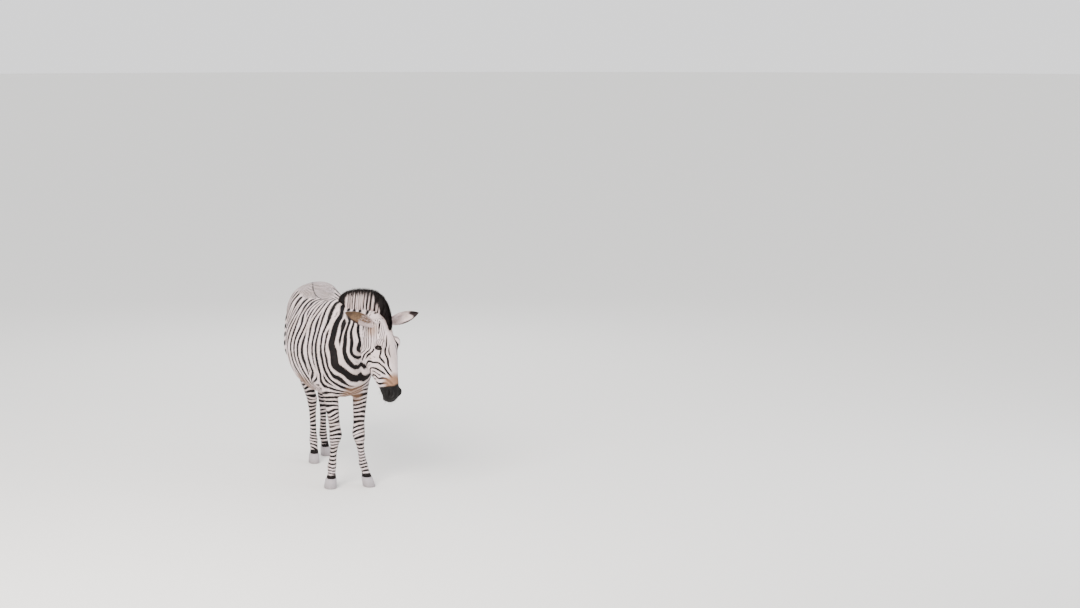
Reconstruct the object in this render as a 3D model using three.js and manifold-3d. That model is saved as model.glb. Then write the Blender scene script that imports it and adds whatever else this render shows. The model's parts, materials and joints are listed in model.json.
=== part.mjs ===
// A life-size standing mountain zebra, as a museum shows: millimetres, +Z up, the animal faces -Y and its
// left side is +X. It stands on four hooves, neck lowered and bent to its left, head hanging, ears out.
// The body is one joined solid, parted by thin straight cuts into head, neck, trunk, tail and legs. Eyes,
// ears, mane, forelock and hooves are pieces of their own, seated in it with a narrow gap.
import * as THREE from 'three';
import { mergeVertices } from 'three/addons/utils/BufferGeometryUtils.js';
import Module from 'manifold-3d';

const wasm = await Module();
wasm.setup();

// ---- Driving sizes (mm) ----
const GAP = 0.35;                 // clear space between any two pieces
const HOOF_HEIGHT = 69;
const EYE_RADIUS = 21;
const EAR_LENGTH = 232, EAR_WIDTH = 86, EAR_DEPTH = 38, EAR_WALL = 8;
const MANE_ROOT = 16;             // how deep the mane stands in the crest

// Head: the poll's place, the turn to the animal's left and the nose-forward tilt, in degrees.
const HEAD = { poll: [125, -475, 1290], turn: 28, tilt: 12 };

// Joints of each limb [x, y, z]. A limb's section at a height lies about the line through them.
const LIMBS = {
  foreleg_right: [[-105, 0, 1128], [-128, 0, 858], [-75, 0, 380], [-103, 0, 158], [-129, 0, 0]],
  foreleg_left: [[105, 0, 1128], [124, 0, 858], [88, -25, 380], [118, -42, 158], [149, -50, 0]],
  hindleg_right: [[-72, 956, 1128], [-96, 956, 858], [27, 911, 478], [18, 864, 158], [-2, 843, 0]],
  hindleg_left: [[152, 956, 1128], [158, 956, 858], [140, 1001, 478], [148, 1048, 158], [160, 1069, 0]],
};

// Sections of a foreleg and a hind leg: height, front and back from the line, half width, squareness.
const FORE = [
  [1128, -100, 120, 40, 2], [1018, -165, 150, 62, 2], [898, -158, 152, 74, 2], [798, -112, 136, 68, 2],
  [708, -74, 92, 58, 2.1], [618, -58, 60, 50, 2.1], [538, -50, 47, 44, 2.2], [458, -42, 38, 40, 2.3],
  [413, -43, 34, 43, 2.5], [380, -47, 36, 45, 2.6], [347, -41, 34, 41, 2.5], [309, -28, 31, 30, 2.3],
  [247, -23, 28, 24, 2.2], [190, -24, 31, 27, 2.2], [158, -29, 40, 32, 2.2], [131, -34, 34, 29, 2.2],
  [107, -46, 20, 27, 2.2], [84, -58, 22, 32, 2.2], [HOOF_HEIGHT + GAP, -62, 27, 36, 2.2],
];
const HIND = [
  [1128, -150, 178, 80, 2], [1038, -186, 188, 84, 2], [938, -210, 188, 86, 2], [858, -218, 166, 85, 2.1],
  [788, -196, 136, 76, 2.1], [723, -156, 113, 62, 2.1], [658, -109, 99, 52, 2.1], [598, -66, 94, 44, 2.2],
  [548, -33, 99, 39, 2.3], [513, -16, 104, 39, 2.4], [478, -8, 97, 38, 2.4], [433, -3, 80, 33, 2.3],
  [390, 4, 70, 27, 2.2], [314, 8, 63, 23.5, 2.2], [228, 6, 63, 24, 2.2], [186, 0, 68, 28, 2.2],
  [158, -6, 71, 31, 2.2], [131, -16, 62, 28, 2.2], [107, -32, 42, 26, 2.2], [84, -46, 35, 29, 2.2],
  [HOOF_HEIGHT + GAP, -51, 36, 33, 2.2],
];
// Sections of a hoof, from the coronet down to the flat sole.
const HOOF_FORE = [[HOOF_HEIGHT, -65, 29, 38.5], [46, -72, 31, 40.5], [6, -85, 33, 43.5], [0, -86, 32, 42.5]];
const HOOF_HIND = [[HOOF_HEIGHT, -54, 38, 35], [46, -60, 39, 37], [6, -72, 40, 39.5], [0, -73, 39, 38.5]];

// Trunk: x, top y z, underside y z, half width, squareness, taper (+ is wider above).
const TRUNK = [
  [4, -234, 978, -234, 918, 42, 2, 0], [4, -218, 1043, -214, 866, 92, 2.1, 0],
  [4, -170, 1143, -176, 763, 150, 2.2, 0], [3, -100, 1243, -104, 690, 186, 2.3, -0.05],
  [2, 0, 1313, 0, 650, 206, 2.3, -0.15], [1, 100, 1344, 100, 633, 224, 2.2, -0.22],
  [2, 220, 1331, 220, 624, 250, 2.2, -0.16], [5, 360, 1304, 360, 618, 280, 2.1, -0.08],
  [10, 500, 1291, 500, 620, 294, 2.05, -0.03], [18, 640, 1308, 640, 642, 279, 2.05, 0],
  [27, 760, 1339, 760, 696, 251, 2.15, 0.04], [38, 870, 1369, 870, 778, 219, 2.35, 0.07],
  [45, 980, 1353, 980, 840, 202, 2.4, 0.08], [48, 1070, 1282, 1076, 898, 169, 2.25, 0.06],
  [48, 1126, 1195, 1130, 963, 114, 2.2, 0], [49, 1152, 1118, 1152, 1018, 44, 2, 0],
];
const CROUP_ROLL = 0.13;          // the left hip stands a little higher than the right

// Neck: x, crest y z, underline y z, half width, squareness, taper.
const NECK = [
  [6, 175, 1308, -40, 778, 118, 2.1, -0.25], [6, 85, 1333, -186, 900, 122, 2.1, -0.32],
  [14, -45, 1310, -246, 978, 113, 2.1, -0.34], [34, -160, 1312, -286, 1028, 100, 2.1, -0.32],
  [60, -280, 1324, -322, 1056, 89, 2.1, -0.28], [88, -380, 1328, -358, 1070, 81, 2.1, -0.2],
  [112, -455, 1310, -398, 1078, 74, 2.1, -0.1],
];
// Mane: x, tip y z, root y z, half width. The last four are the forelock.
const MANE = [
  [0, 122, 1344, 104, 1323, 7], [3, 70, 1380, 84, 1326, 12], [10, 12, 1412, 30, 1314, 15],
  [27, -105, 1447, -70, 1308, 17], [50, -217, 1468, -180, 1312, 18], [84, -345, 1477, -290, 1324, 18],
  [108, -425, 1470, -375, 1328, 18], [134, -485, 1440, -428, 1314, 18], [151, -527, 1391, -462, 1294, 18],
  [161, -551, 1332, -486, 1274, 17], [165, -559, 1277, -506, 1248, 15], [166, -558, 1236, -524, 1218, 10],
  [165, -550, 1214, -534, 1208, 4],
];
// Tail: x, outer y z, inner y z, half width; the dock, then the long tuft below it.
const DOCK = [
  [44, 1078, 1270, 1070, 1200, 30], [46, 1142, 1260, 1124, 1194, 31], [48, 1196, 1218, 1160, 1168, 29],
  [48, 1222, 1143, 1176, 1126, 25], [48, 1226, 1028, 1184, 1024, 22], [48, 1222, 885, 1186, 885, 18],
];
const TUFT = [
  [48, 1223, 884, 1185, 884, 19], [48, 1232, 820, 1178, 820, 26], [48, 1236, 720, 1174, 720, 32],
  [48, 1230, 620, 1180, 620, 28], [48, 1218, 540, 1192, 540, 15], [48, 1208, 505, 1202, 505, 4],
];
// Head, along the line from poll to lips: distance down, face, jaw, half width, squareness, taper.
const SKULL = [
  [-16, -30, -62, 28, 2, 0], [6, 4, -98, 58, 2.1, 0], [40, 30, -132, 75, 2.2, 0.05],
  [90, 46, -162, 83, 2.3, 0.08], [150, 55, -186, 91, 2.4, 0.12], [205, 60, -200, 96, 2.5, 0.14],
  [260, 60, -205, 91, 2.5, 0.08], [320, 57, -194, 82, 2.4, 0.02], [380, 51, -168, 71, 2.3, 0],
  [440, 45, -134, 61, 2.2, 0], [500, 39, -106, 56, 2.2, 0.02], [540, 31, -92, 55, 2.2, 0.04],
  [572, 14, -84, 51, 2.2, 0.04], [590, -12, -68, 34, 2, 0], [598, -26, -54, 15, 2, 0],
];
// Swellings of the head, on both sides: [across, down, forward], then the same three half sizes.
const SWELLINGS = {
  brow: [[72, 188, 24], [34, 48, 36]],
  jowl: [[58, 238, -120], [31, 90, 80]],
  nostril: [[38, 530, 4], [22, 38, 30]],
  chin: [[14, 566, -68], [26, 22, 24]],
};
const EYE = [82, 210, 6];
// Ears: root in the head's frame [across, down, forward], and in the body's frame the way the ear points
// and the way its hollow faces.
const EARS = {
  ear_right: { root: [-60, 48, -16], along: [-0.93, 0.05, 0.42], faces: [-0.15, -0.98, -0.05] },
  ear_left: { root: [60, 48, -16], along: [0.96, -0.12, 0.27], faces: [0.1, -0.95, 0.2] },
};

// ---- Materials ----
const paint = (color, roughness) => new THREE.MeshStandardMaterial({ color, roughness, metalness: 0 });
const MATERIALS = {
  coat: paint('#d9c9c6', 0.85), dark: paint('#1d171b', 0.85), ear: paint('#7a6350', 0.85),
  horn: paint('#a19a9c', 0.55), eye: paint('#140d0b', 0.1),
};

// ---- Tools ----
const smooth = points => new THREE.CatmullRomCurve3(points, false, 'catmullrom', 0.5);
const v3 = (x, y, z) => new THREE.Vector3(x, y, z);

// A closed body through rows [x, frontY, frontZ, backY, backZ, half width, squareness, taper]: each
// section stands between a front and a back outline point. grow widens every section and both ends.
function loft(rows, { sides = 20, steps = 2, grow = 0 } = {}) {
  const front = smooth(rows.map(r => v3(r[0], r[1], r[2])));
  const back = smooth(rows.map(r => v3(r[0], r[3], r[4])));
  const form = smooth(rows.map(r => v3(r[5], r[6] ?? 2, r[7] ?? 0)));
  const rings = (rows.length - 1) * steps;
  const middle = t => front.getPoint(t).add(back.getPoint(t)).multiplyScalar(0.5);
  const points = [];
  for (let i = 0; i <= rings; i++) {
    const t = i / rings;
    const [half, square, taper] = form.getPoint(t).toArray();
    const centre = middle(t);
    if (i === 0 || i === rings) {
      const inner = middle(i === 0 ? 0.01 : 0.99);
      centre.add(centre.clone().sub(inner).setLength(grow));
    }
    const radius = front.getPoint(t).sub(back.getPoint(t)).multiplyScalar(0.5);
    radius.setLength(radius.length() + grow);
    if (i === 0) points.push(centre);
    for (let j = 0; j < sides; j++) {
      const angle = 2 * Math.PI * j / sides;
      const [c, s] = [Math.cos(angle), Math.sin(angle)]
        .map(value => Math.sign(value) * Math.abs(value) ** (2 / square));
      const across = (half * (1 + taper * c) + grow) * s;
      points.push(centre.clone().addScaledVector(radius, c).add(v3(across, 0, 0)));
    }
    if (i === rings) points.push(centre);
  }
  const faces = [];
  const last = points.length - 1;
  for (let j = 0; j < sides; j++) {
    const k = (j + 1) % sides;
    faces.push(0, 1 + k, 1 + j, last, last - sides + j, last - sides + k);
    for (let i = 0; i < rings; i++) {
      const [a, b] = [1 + i * sides, 1 + (i + 1) * sides];
      faces.push(a + j, a + k, b + j, a + k, b + k, b + j);
    }
  }
  const geometry = new THREE.BufferGeometry().setFromPoints(points);
  geometry.setIndex(faces);
  return outwards(geometry);
}

// Turns the faces round where they point inwards.
function outwards(geometry) {
  const at = geometry.getAttribute('position'), index = geometry.getIndex();
  const corner = i => v3().fromBufferAttribute(at, index.getX(i));
  let volume = 0;
  for (let i = 0; i < index.count; i += 3) {
    volume += corner(i).dot(corner(i + 1).cross(corner(i + 2)));
  }
  if (volume < 0) index.array.reverse();
  return geometry;
}

function solid(geometry) {
  const bare = geometry.clone();
  bare.deleteAttribute('normal');
  bare.deleteAttribute('uv');
  const merged = mergeVertices(bare, 1e-3);
  return new wasm.Manifold(new wasm.Mesh({
    numProp: 3,
    vertProperties: new Float32Array(merged.getAttribute('position').array),
    triVerts: new Uint32Array(merged.getIndex().array),
  }));
}

function piece(name, body, material) {
  const { vertProperties, triVerts } = body.getMesh();
  const geometry = new THREE.BufferGeometry();
  geometry.setAttribute('position', new THREE.BufferAttribute(vertProperties, 3));
  geometry.setIndex(new THREE.BufferAttribute(triVerts, 1));
  geometry.computeVertexNormals();
  const mesh = new THREE.Mesh(geometry, material);
  mesh.name = name;
  return mesh;
}

// A flat outline of two coordinates, made a prism along the third: 'x' takes [y, z], 'y' takes [x, z].
function prism(axis, outline, low, high) {
  const shape = new THREE.Shape(outline.map(p => new THREE.Vector2(...p)));
  const geometry = new THREE.ExtrudeGeometry(shape, { depth: high - low, bevelEnabled: false });
  const turn = axis === 'x'
    ? new THREE.Matrix4().makeBasis(v3(0, 1, 0), v3(0, 0, 1), v3(1, 0, 0)).setPosition(low, 0, 0)
    : new THREE.Matrix4().makeBasis(v3(1, 0, 0), v3(0, 0, 1), v3(0, -1, 0)).setPosition(0, high, 0);
  return solid(geometry.applyMatrix4(turn));
}

// ---- The head's frame: across, down towards the lips, forward out of the face ----
const headFrame = new THREE.Matrix4().makeTranslation(...HEAD.poll)
  .multiply(new THREE.Matrix4().makeRotationZ(THREE.MathUtils.degToRad(HEAD.turn)))
  .multiply(new THREE.Matrix4().makeRotationX(THREE.MathUtils.degToRad(-HEAD.tilt)));
const inHead = (across, down, forward) => v3(across, -forward, -down).applyMatrix4(headFrame);

function swelling([[across, down, forward], [wide, tall, deep]], side) {
  const ball = new THREE.SphereGeometry(1, 9, 6).scale(wide, deep, tall);
  return solid(ball.translate(side * across, -forward, -down).applyMatrix4(headFrame));
}

function head() {
  const rows = SKULL.map(([down, face, jaw, ...form]) => [0, -face, -down, -jaw, -down, ...form]);
  let body = solid(loft(rows, { sides: 20, steps: 1 }).applyMatrix4(headFrame));
  for (const side of [-1, 1]) {
    for (const part of Object.values(SWELLINGS)) body = body.add(swelling(part, side));
  }
  return body;
}

const eyeball = (side, grow = 0) => solid(new THREE.SphereGeometry(EYE_RADIUS + grow, 12, 8)
  .translate(...inHead(side * EYE[0], EYE[1], EYE[2])));

// An ear is a leaf-shaped cup, open along its front, from a narrow root to a rounded tip.
function ear({ root, along, faces }, grow = 0) {
  const z = v3(...along).normalize();
  const x = v3(...faces).cross(z).normalize();
  const frame = new THREE.Matrix4().makeBasis(x, z.clone().cross(x), z).setPosition(inHead(...root));
  const profile = [[-0.02, 0.42], [0.1, 0.62], [0.25, 0.86], [0.42, 1], [0.6, 0.95], [0.76, 0.74],
    [0.9, 0.42], [0.98, 0.16]];
  const cup = (wall, from, front) => profile.slice(from).map(([s, w]) => [0, wall - w * EAR_DEPTH,
    s * EAR_LENGTH, front(w), s * EAR_LENGTH, Math.max(w * EAR_WIDTH / 2 - wall, 2), 2.1]);
  const outer = solid(loft(cup(0, 0, w => 0.35 * w * EAR_DEPTH), { sides: 12, steps: 1, grow }));
  if (grow) return outer.transform(frame.elements);
  const hollow = solid(loft(cup(EAR_WALL, 1, () => 60), { sides: 12, steps: 1 }));
  return outer.subtract(hollow).transform(frame.elements);
}

// ---- Limbs ----
function lineAt(joints, z) {
  const i = Math.max(1, joints.findIndex(j => j[2] <= z));
  const [top, low] = [joints[i - 1], joints[i]];
  const f = (top[2] - z) / (top[2] - low[2]);
  return [top[0] + (low[0] - top[0]) * f, top[1] + (low[1] - top[1]) * f];
}

const rowsAlong = (joints, sections) => sections.map(([z, front, back, half, square = 2.3]) => {
  const [x, y] = lineAt(joints, z);
  return [x, y + front, z, y + back, z, half, square];
});

const isFore = name => name.startsWith('foreleg');
const limb = name => solid(loft(rowsAlong(LIMBS[name], isFore(name) ? FORE : HIND), { sides: 14, steps: 1 }));
const hoof = name => solid(loft(rowsAlong(LIMBS[name], isFore(name) ? HOOF_FORE : HOOF_HIND),
  { sides: 16, steps: 1 }));

// The trunk, with the croup rolled a little to the right.
function trunk() {
  const geometry = loft(TRUNK, { sides: 22 });
  const at = geometry.getAttribute('position');
  for (let i = 0; i < at.count; i++) {
    const hips = THREE.MathUtils.smoothstep(at.getY(i), 550, 900);
    at.setZ(i, at.getZ(i) + at.getX(i) * CROUP_ROLL * hips);
  }
  return solid(geometry);
}

// ---- The joined body, its seats, and the cuts that part it ----
const maneRows = MANE.map(([x, ty, tz, ry, rz, half]) => [x, ty, tz, ry, rz - MANE_ROOT, half, 2.4, -0.3]);
const mane = grow => solid(loft(maneRows, { sides: 10, steps: 1, grow }));

let flesh = trunk().add(solid(loft(NECK, { sides: 18 }))).add(head()).add(solid(loft(DOCK, { sides: 12, steps: 1 })));
for (const name of Object.keys(LIMBS)) flesh = flesh.add(limb(name));
flesh = flesh.subtract(mane(GAP));
for (const side of [-1, 1]) flesh = flesh.subtract(eyeball(side, GAP));
for (const shape of Object.values(EARS)) flesh = flesh.subtract(ear(shape, GAP));

// Parts the flesh inside a region off as a piece. shifts are small moves of the region, which widen the
// cut by the gap on the sides where flesh goes on beyond it.
const coatPieces = [];
function partOff(name, region, ...shifts) {
  coatPieces.push(piece(name, flesh.intersect(region), MATERIALS.coat));
  for (const shift of [[0, 0, 0], ...shifts]) flesh = flesh.subtract(region.translate(shift));
}

// Each leg parts on a slope, from the armpit or groin up to the outside of the body.
const slope = (side, inner, low, rise) => [
  [inner + side * 360, -50], [inner + side * 360, low + 360 * rise], [inner, low]];
const LEG_CUTS = {
  foreleg_left: [[...slope(1, 5, 578, 1.35), [5, -50]], -236, 176],
  foreleg_right: [[...slope(-1, 5, 578, 1.35), [5, -50]], -236, 176],
  hindleg_left: [[...slope(1, 45, 640, 1.85), [70, 575], [88, 500], [88, -50]], 722, 1160],
  hindleg_right: [[...slope(-1, 45, 640, 1.85), [70, 575], [88, 500], [88, -50]], 722, 1160],
};
for (const [name, [outline, low, high]] of Object.entries(LEG_CUTS)) {
  const [back, up] = [GAP, 2 * GAP];
  partOff(name, prism('y', outline, low, high), [0, 0, up], [0, back, up], [0, -back, up]);
}
partOff('tail', prism('x', [[1095, 1308], [1163, 1108], [1163, 850], [1400, 850], [1400, 1308]], -80, 160),
  [0, -1.2 * GAP, 0]);
const headRegion = prism('x', [[-200, 90], [40, 90], [62, 40], [215, -190], [262, -700], [-200, -700]],
  -250, 250).transform(headFrame.elements);
const backOfHead = v3(0, GAP, 0.8 * GAP).transformDirection(headFrame).multiplyScalar(1.3 * GAP);
partOff('head', headRegion, backOfHead.toArray());
partOff('neck', prism('x', [[110, 1398], [-290, 938], [-290, 878], [-800, 878], [-800, 1398]], -300, 400),
  [0, 0.8 * GAP, -0.7 * GAP]);
coatPieces.push(piece('trunk', flesh, MATERIALS.coat));

const frontOfPoll = prism('x',
  [[-560, 1433], [-440, 1253], [-440, 1150], [-700, 1150], [-700, 1433]], 0, 300);
const hair = mane(0);

// ---- The whole animal, its origin in the middle of its footprint on the floor ----
const animal = new THREE.Group();
animal.add(
  ...coatPieces,
  ...Object.keys(LIMBS).map(name => piece(name.replace('leg_', '_hoof_'), hoof(name), MATERIALS.horn)),
  ...[-1, 1].map(side => piece(side < 0 ? 'eye_right' : 'eye_left', eyeball(side), MATERIALS.eye)),
  ...Object.entries(EARS).map(([name, shape]) => piece(name, ear(shape), MATERIALS.ear)),
  piece('forelock', hair.intersect(frontOfPoll), MATERIALS.dark),
  piece('mane', hair.subtract(frontOfPoll).subtract(frontOfPoll.translate([0, 0.8 * GAP, 0.6 * GAP])),
    MATERIALS.dark),
  piece('tail_tuft', solid(loft(TUFT, { sides: 12, steps: 1 })), MATERIALS.dark),
);
const extent = new THREE.Box3().setFromObject(animal);
const group = new THREE.Group();
animal.position.set(-(extent.min.x + extent.max.x) / 2, -(extent.min.y + extent.max.y) / 2, -extent.min.z);
group.add(animal);

export default group;
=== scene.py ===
"""A life-size standing mountain zebra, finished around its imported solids.

One skin takes the place of the solids of flesh. Over it lie the short coat, the erect mane, the forelock
and the tail's long hair. Ears, eyes, lids and hooves are pieces of their own.

Places are in metres in the zebra's own frame: x to its left from the line of the withers, y backwards
from the forefeet, z up from the floor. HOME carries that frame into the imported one.
"""

import json
import math

import bpy
import numpy as np
from mathutils import Matrix, Vector
from mathutils.bvhtree import BVHTree

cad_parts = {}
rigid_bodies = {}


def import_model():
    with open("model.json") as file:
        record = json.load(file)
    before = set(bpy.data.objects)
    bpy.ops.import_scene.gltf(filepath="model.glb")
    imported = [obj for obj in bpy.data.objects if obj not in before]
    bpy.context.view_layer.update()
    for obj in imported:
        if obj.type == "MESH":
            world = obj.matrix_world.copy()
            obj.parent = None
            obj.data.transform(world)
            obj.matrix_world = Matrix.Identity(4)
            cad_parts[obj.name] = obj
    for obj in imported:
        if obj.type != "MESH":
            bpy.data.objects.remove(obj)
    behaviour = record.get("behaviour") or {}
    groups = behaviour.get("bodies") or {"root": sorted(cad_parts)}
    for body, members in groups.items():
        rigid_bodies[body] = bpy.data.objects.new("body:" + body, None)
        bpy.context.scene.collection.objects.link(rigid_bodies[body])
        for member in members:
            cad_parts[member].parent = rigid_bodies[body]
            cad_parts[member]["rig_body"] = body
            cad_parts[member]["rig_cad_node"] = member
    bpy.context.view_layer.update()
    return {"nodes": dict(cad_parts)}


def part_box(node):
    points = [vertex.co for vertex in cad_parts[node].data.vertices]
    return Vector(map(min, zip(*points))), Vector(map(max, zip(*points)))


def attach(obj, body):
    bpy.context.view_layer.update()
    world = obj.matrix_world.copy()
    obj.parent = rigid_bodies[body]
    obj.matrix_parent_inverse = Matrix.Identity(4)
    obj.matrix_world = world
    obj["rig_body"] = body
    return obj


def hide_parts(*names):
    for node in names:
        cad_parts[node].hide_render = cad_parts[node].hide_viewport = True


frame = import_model()

bl_info = {
    "name": "Mountain Zebra",
    "version": (1, 0, 0),
    "blender": (4, 5, 0),
    "location": "3D View > Sidebar > Zebra",
    "description": "Dresses the solids of a life-size mountain zebra with skin, coat, mane, eyes and hooves",
    "category": "Mesh",
}

# ---- Places taken from the frame ----


def middle(node):
    """The middle of a CAD node's box, as an array."""
    low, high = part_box(node)
    return np.array((low + high) / 2)


HOOF_OFFSET = np.array([0.129, 0.0265, 0.0])  # from the right fore hoof to the frame's own zero
HOME = (middle("fore_hoof_right") + HOOF_OFFSET) * (1, 1, 0)

FLESH = ("head", "neck", "trunk", "tail", "foreleg_left", "foreleg_right", "hindleg_left", "hindleg_right")
HOOVES = ("fore_hoof_left", "fore_hoof_right", "hind_hoof_left", "hind_hoof_right")

# The head's frame: across to its left, down from poll to lips, forward out of the face.
POLL = np.array([0.125, -0.475, 1.290])
HEAD_TURN, HEAD_TILT = math.radians(28), math.radians(12)
HEAD_AXES = np.array(Matrix.Rotation(HEAD_TURN, 3, "Z") @ Matrix.Rotation(-HEAD_TILT, 3, "X"))
EYE = np.array([0.082, 0.210, 0.006])   # on both sides: across, down, forward
EYE_RADIUS, EYE_SINK = 0.021, 0.005     # the ball sits a little deeper than its solid

# The ears: root in the head's frame, the way each points and the way its hollow faces.
EAR_LENGTH, EAR_WIDTH = 0.232, 0.086
EARS = {
    "ear_right": ((-0.060, 0.048, -0.016), (-0.93, 0.05, 0.42), (-0.15, -0.98, -0.05)),
    "ear_left": ((0.060, 0.048, -0.016), (0.96, -0.12, 0.27), (0.10, -0.95, 0.20)),
}

# The limbs' lines through their joints [x, y, z], from the body down to the sole.
LIMBS = {
    "foreleg_right": ((-0.105, 0, 1.128), (-0.128, 0, 0.858), (-0.075, 0, 0.380),
                      (-0.103, 0, 0.158), (-0.129, 0, 0)),
    "foreleg_left": ((0.105, 0, 1.128), (0.124, 0, 0.858), (0.088, -0.025, 0.380),
                     (0.118, -0.042, 0.158), (0.149, -0.050, 0)),
    "hindleg_right": ((-0.072, 0.956, 1.128), (-0.096, 0.956, 0.858), (0.027, 0.911, 0.478),
                      (0.018, 0.864, 0.158), (-0.002, 0.843, 0)),
    "hindleg_left": ((0.152, 0.956, 1.128), (0.158, 0.956, 0.858), (0.140, 1.001, 0.478),
                     (0.148, 1.048, 0.158), (0.160, 1.069, 0)),
}
# The spine's and the bent neck's drift to the left, as x at y.
SPINE_Y = (-0.56, -0.475, -0.38, -0.28, -0.16, -0.045, 0.0, 0.36, 0.64, 0.87, 1.07)
SPINE_X = (0.160, 0.130, 0.100, 0.065, 0.034, 0.014, 0.004, 0.005, 0.018, 0.038, 0.048)

# The mane's rows from withers to forelock: x, then y and z of the tips and of the roots, and half width.
MANE = (
    (0.000, 0.122, 1.344, 0.104, 1.323, 0.007), (0.003, 0.070, 1.380, 0.084, 1.326, 0.012),
    (0.010, 0.012, 1.412, 0.030, 1.314, 0.015), (0.027, -0.105, 1.447, -0.070, 1.308, 0.017),
    (0.050, -0.217, 1.468, -0.180, 1.312, 0.018), (0.084, -0.345, 1.477, -0.290, 1.324, 0.018),
    (0.108, -0.425, 1.470, -0.375, 1.328, 0.018), (0.134, -0.485, 1.440, -0.428, 1.314, 0.018),
    (0.151, -0.527, 1.391, -0.462, 1.294, 0.018), (0.161, -0.551, 1.332, -0.486, 1.274, 0.017),
    (0.165, -0.559, 1.277, -0.506, 1.248, 0.015), (0.166, -0.558, 1.236, -0.524, 1.218, 0.010),
    (0.165, -0.550, 1.214, -0.534, 1.208, 0.004),
)
FORELOCK_FROM = 7.6   # the row where the mane ends and the forelock begins
MANE_ROW = 90.0       # about how many millimetres lie between two rows
# The mane's black bands, from row to row.
MANE_BLACK = ((-1, 2.45), (2.75, 2.84), (3.05, 3.18), (3.38, 3.50), (3.68, 3.80), (3.96, 4.02), (4.16, 4.22),
              (4.38, 4.44), (4.64, 4.78), (4.98, 5.20), (5.46, 5.72), (6.05, 6.42), (6.70, 6.92), (7.2, 20))

# ---- Sizes and colours a user would change ----


def linear(value):
    """An sRGB hex colour as linear red, green, blue and full opacity."""
    parts = [int(value[i:i + 2], 16) / 255 for i in (1, 3, 5)]
    return tuple(p / 12.92 if p <= 0.04045 else ((p + 0.055) / 1.055) ** 2.4 for p in parts) + (1.0,)


def colour(name, value, about):
    """A colour property with a hex default."""
    return bpy.props.FloatVectorProperty(
        name=name, description=about, subtype="COLOR", size=4, min=0, max=1, default=linear(value))


def length(name, value, about):
    """A length property in metres."""
    return bpy.props.FloatProperty(name=name, description=about, default=value, min=0, unit="LENGTH")


class ZebraSizes(bpy.types.PropertyGroup):
    """Lengths of hair and depth of skin."""

    voxel: length("Skin grain", 0.0110, "Edge of the small cubes that the skin is first built from")
    coat_depth: length("Coat depth", 0.003, "How far the skin lies under the solids' surface")
    body_hair: length("Body hair", 0.0115, "Length of the hair on neck and trunk")
    leg_hair: length("Leg hair", 0.0075, "Length of the hair on the legs")
    face_hair: length("Face hair", 0.006, "Length of the hair on the face")


class ZebraColours(bpy.types.PropertyGroup):
    """Colours of hair, skin, horn, eyes and stage."""

    white: colour("White hair", "#efdfe0", "Pale ground between the stripes")
    cream: colour("Cream hair", "#d8c6c0", "Shaded or dusty parts of the pale ground")
    black: colour("Black hair", "#0a0608", "The stripes")
    brown: colour("Brown hair", "#1e1614", "Bleached parts of the stripes")
    rust: colour("Rust hair", "#a07b62", "The patch above the muzzle and low on the breast")
    muzzle: colour("Muzzle", "#100e0d", "Bare dark skin of nostrils and lips")
    horn: colour("Horn", "#a29da4", "Hoof wall")
    horn_dark: colour("Dark horn", "#6d6462", "Hoof wall at the sole and in its rings")
    iris: colour("Iris", "#2a1710", "The eye around the pupil")
    floor: colour("Floor", "#ecebe8", "The plain studio floor")


def sizes():
    """The sizes that the user sets."""
    return bpy.context.scene.zebra_sizes


def colours():
    """The colours that the user sets."""
    return bpy.context.scene.zebra_colours


# ---- Small tools for arrays of points ----


def home(points):
    """Packed places as places in the zebra's frame."""
    return points - HOME


def ramp(low, high, value):
    """Smooth step from 0 at low to 1 at high."""
    t = np.clip((value - low) / (high - low), 0, 1)
    return t * t * (3 - 2 * t)


def in_head(points):
    """Places in the head's frame: across, down, forward."""
    turned = (points - POLL) @ HEAD_AXES
    return np.stack([turned[:, 0], -turned[:, 2], -turned[:, 1]], 1)


def from_head(across, down, forward):
    """A place in the zebra's frame from one in the head's."""
    return POLL + HEAD_AXES @ np.array([across, -forward, -down])


def unit(vectors):
    """Vectors made one long."""
    return vectors / np.maximum(np.linalg.norm(vectors, axis=-1, keepdims=True), 1e-9)


def spine_x(y):
    """The spine's x at y."""
    return np.interp(y, SPINE_Y, SPINE_X)


def limb_line(name, z):
    """The x and y of a limb's line at height z."""
    joints = np.array(LIMBS[name])[::-1]
    return np.interp(z, joints[:, 2], joints[:, 0]), np.interp(z, joints[:, 2], joints[:, 1])


def ripple(points, size, seed):
    """Smooth noise, mostly from -1 to 1, with bumps about size across: seven waves in random directions."""
    rng = np.random.default_rng(seed)
    total = np.zeros(len(points))
    for _ in range(7):
        way = rng.normal(size=3)
        wavelength = size * rng.uniform(1.4, 2.8)
        way *= 2 * math.pi / wavelength / np.linalg.norm(way)
        total += np.sin(points @ way + rng.uniform(0, 2 * math.pi))
    return total / 3.2


def part_weights(points):
    """How far each point belongs to the head and to the lower legs, from 0 to 1."""
    across, down, forward = in_head(points).T
    head = ramp(-0.02, 0.06, down) * ramp(0.30, 0.24, np.hypot(across, (forward + 0.08)))
    head *= ramp(0.02, -0.04, points[:, 1] + 0.42 + 0.55 * (points[:, 2] - 1.1))
    legs = ramp(0.82, 0.60, points[:, 2]) * (1 - head) * ramp(1.19, 1.15, points[:, 1])
    return head, legs


# ---- Small tools for meshes ----


def only(*objects):
    """Selects just these objects, the first one active."""
    bpy.ops.object.select_all(action="DESELECT")
    for item in objects:
        item.select_set(True)
    bpy.context.view_layer.objects.active = objects[0]


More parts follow.
